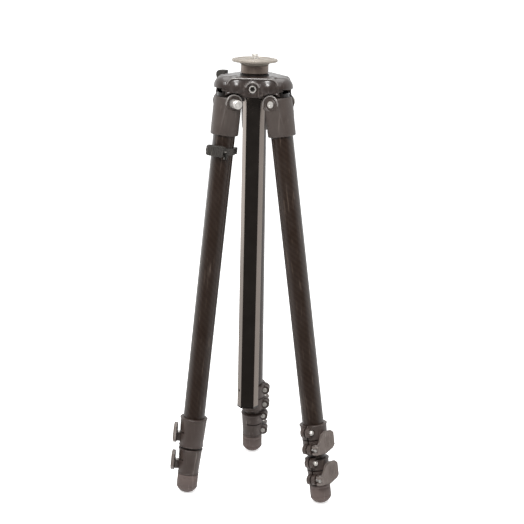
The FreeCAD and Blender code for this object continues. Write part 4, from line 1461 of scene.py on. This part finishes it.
@dataclass
class Studio:
    """Pale floor, soft light and the camera."""

    lens: float = 100.4
    camera: tuple[float, float, float] = (0.1231, -1.9241, 0.7947)
    aim: tuple[float, float, float] = (0.01537, 0.00098, 0.3189)
    roll: float = 1.31

    def build_floor(self) -> None:
        """Lay a large floor of white studio paper."""
        mesh = bmesh.new()
        bmesh.ops.create_grid(mesh, x_segments=8, y_segments=8, size=14.0)
        data = bpy.data.meshes.new("floor")
        mesh.to_mesh(data)
        mesh.free()
        floor = bpy.data.objects.new("floor", data)
        bpy.context.scene.collection.objects.link(floor)
        paper = bpy.data.materials.new("white studio paper")
        paper.use_nodes = True
        tree = paper.node_tree
        tree.nodes.clear()
        shader = add_node(tree, "ShaderNodeBsdfPrincipled", {
            "Base Color": linear("#f2f2f2"), "Roughness": 0.9, "Specular IOR Level": 0.1,
            "Emission Color": linear("#ffffff"), "Emission Strength": 0.6})
        add_node(tree, "ShaderNodeOutputMaterial", {"Surface": shader.outputs[0]})
        data.materials.append(paper)
        floor.visible_glossy = False

    def build_sky(self) -> None:
        """Surround the set with white walls, dimmer towards the camera's end."""
        world = bpy.data.worlds.new("white room")
        bpy.context.scene.world = world
        world.use_nodes = True
        tree = world.node_tree
        tree.nodes.clear()
        way = add_node(tree, "ShaderNodeTexCoord").outputs["Generated"]
        parts = add_node(tree, "ShaderNodeSeparateXYZ", {0: way})
        level = add_node(tree, "ShaderNodeMapRange",
                         {"Value": parts.outputs[1], 1: -0.85, 2: 0.1, 3: 0.06, 4: 1.0},
                         interpolation_type="SMOOTHSTEP")
        sight = add_node(tree, "ShaderNodeLightPath")
        shown = add_node(tree, "ShaderNodeMix", {
            "Factor": sight.outputs["Is Camera Ray"], 2: level.outputs[0], 3: 1.0},
            data_type="FLOAT")
        paint = add_node(tree, "ShaderNodeBackground", {
            "Color": linear("#ffffff"), "Strength": shown.outputs[0]})
        add_node(tree, "ShaderNodeOutputWorld", {"Surface": paint.outputs[0]})

    def softbox(self, name: str, at: Sequence[float], aim: Sequence[float], size: Point,
                watts: float, colour: str = "#ffffff") -> None:
        """Hang one soft box.

        Args:
            name: its name.
            at: where it hangs, in metres.
            aim: the point it faces.
            size: its width and height.
            watts: its power.
            colour: its colour.
        """
        light = bpy.data.lights.new(name, "AREA")
        light.shape = "RECTANGLE"
        light.size, light.size_y = size
        light.energy = watts
        light.color = linear(colour)[:3]
        made = bpy.data.objects.new(name, light)
        made.matrix_world = (Matrix.Translation(Vector(at)) @ (
            Vector(aim) - Vector(at)).to_track_quat("-Z", "Y").to_matrix().to_4x4())
        made.visible_camera = False
        bpy.context.scene.collection.objects.link(made)

    def build_lights(self) -> None:
        """Hang the soft boxes."""
        self.softbox("overhead", (0.0, 0.2, 2.4), (0, 0, 0.3), (1.8, 1.8), 26.0)
        self.softbox("left side", (-1.2, 0.75, 0.45), (0, 0, 0.3), (0.8, 0.9), 1.6)
        self.softbox("front key", (-0.3, -1.6, 1.9), (0, 0, 0.4), (1.0, 0.8), 44.0)

    def build_camera(self) -> None:
        """Set up the camera, with its slight roll."""
        data = bpy.data.cameras.new("camera")
        data.sensor_width = 36.0
        data.lens = self.lens
        data.clip_end = 100.0
        camera = bpy.data.objects.new("camera", data)
        ahead = (Vector(self.aim) - Vector(self.camera)).normalized()
        right = ahead.cross(Vector((0, 0, 1))).normalized()
        up = right.cross(ahead)
        roll = math.radians(self.roll)
        right, up = (right * math.cos(roll) + up * math.sin(roll),
                     up * math.cos(roll) - right * math.sin(roll))
        turn = Matrix((right, up, -ahead)).transposed().to_4x4()
        camera.matrix_world = Matrix.Translation(Vector(self.camera)) @ turn
        bpy.context.scene.collection.objects.link(camera)
        bpy.context.scene.camera = camera

    def build(self) -> None:
        """Build the whole set."""
        bpy.context.scene.view_settings.view_transform = "Standard"
        self.build_floor()
        self.build_sky()
        self.build_lights()
        self.build_camera()


def main() -> None:
    """Build every sub-assembly."""
    logging.basicConfig(level=logging.INFO, format="%(message)s")
    Studio().build()
    Shoulder().build()
    LockKnob().build()
    Column().build()
    HeadPlate().build()
    legs = {name: Leg(name) for name in ("left", "right", "rear")}
    skins = legs["left"].skins()
    for leg in legs.values():
        leg.build(skins)
    ToolClip(legs["left"].place).build()


if __name__ == "__main__":
    main()
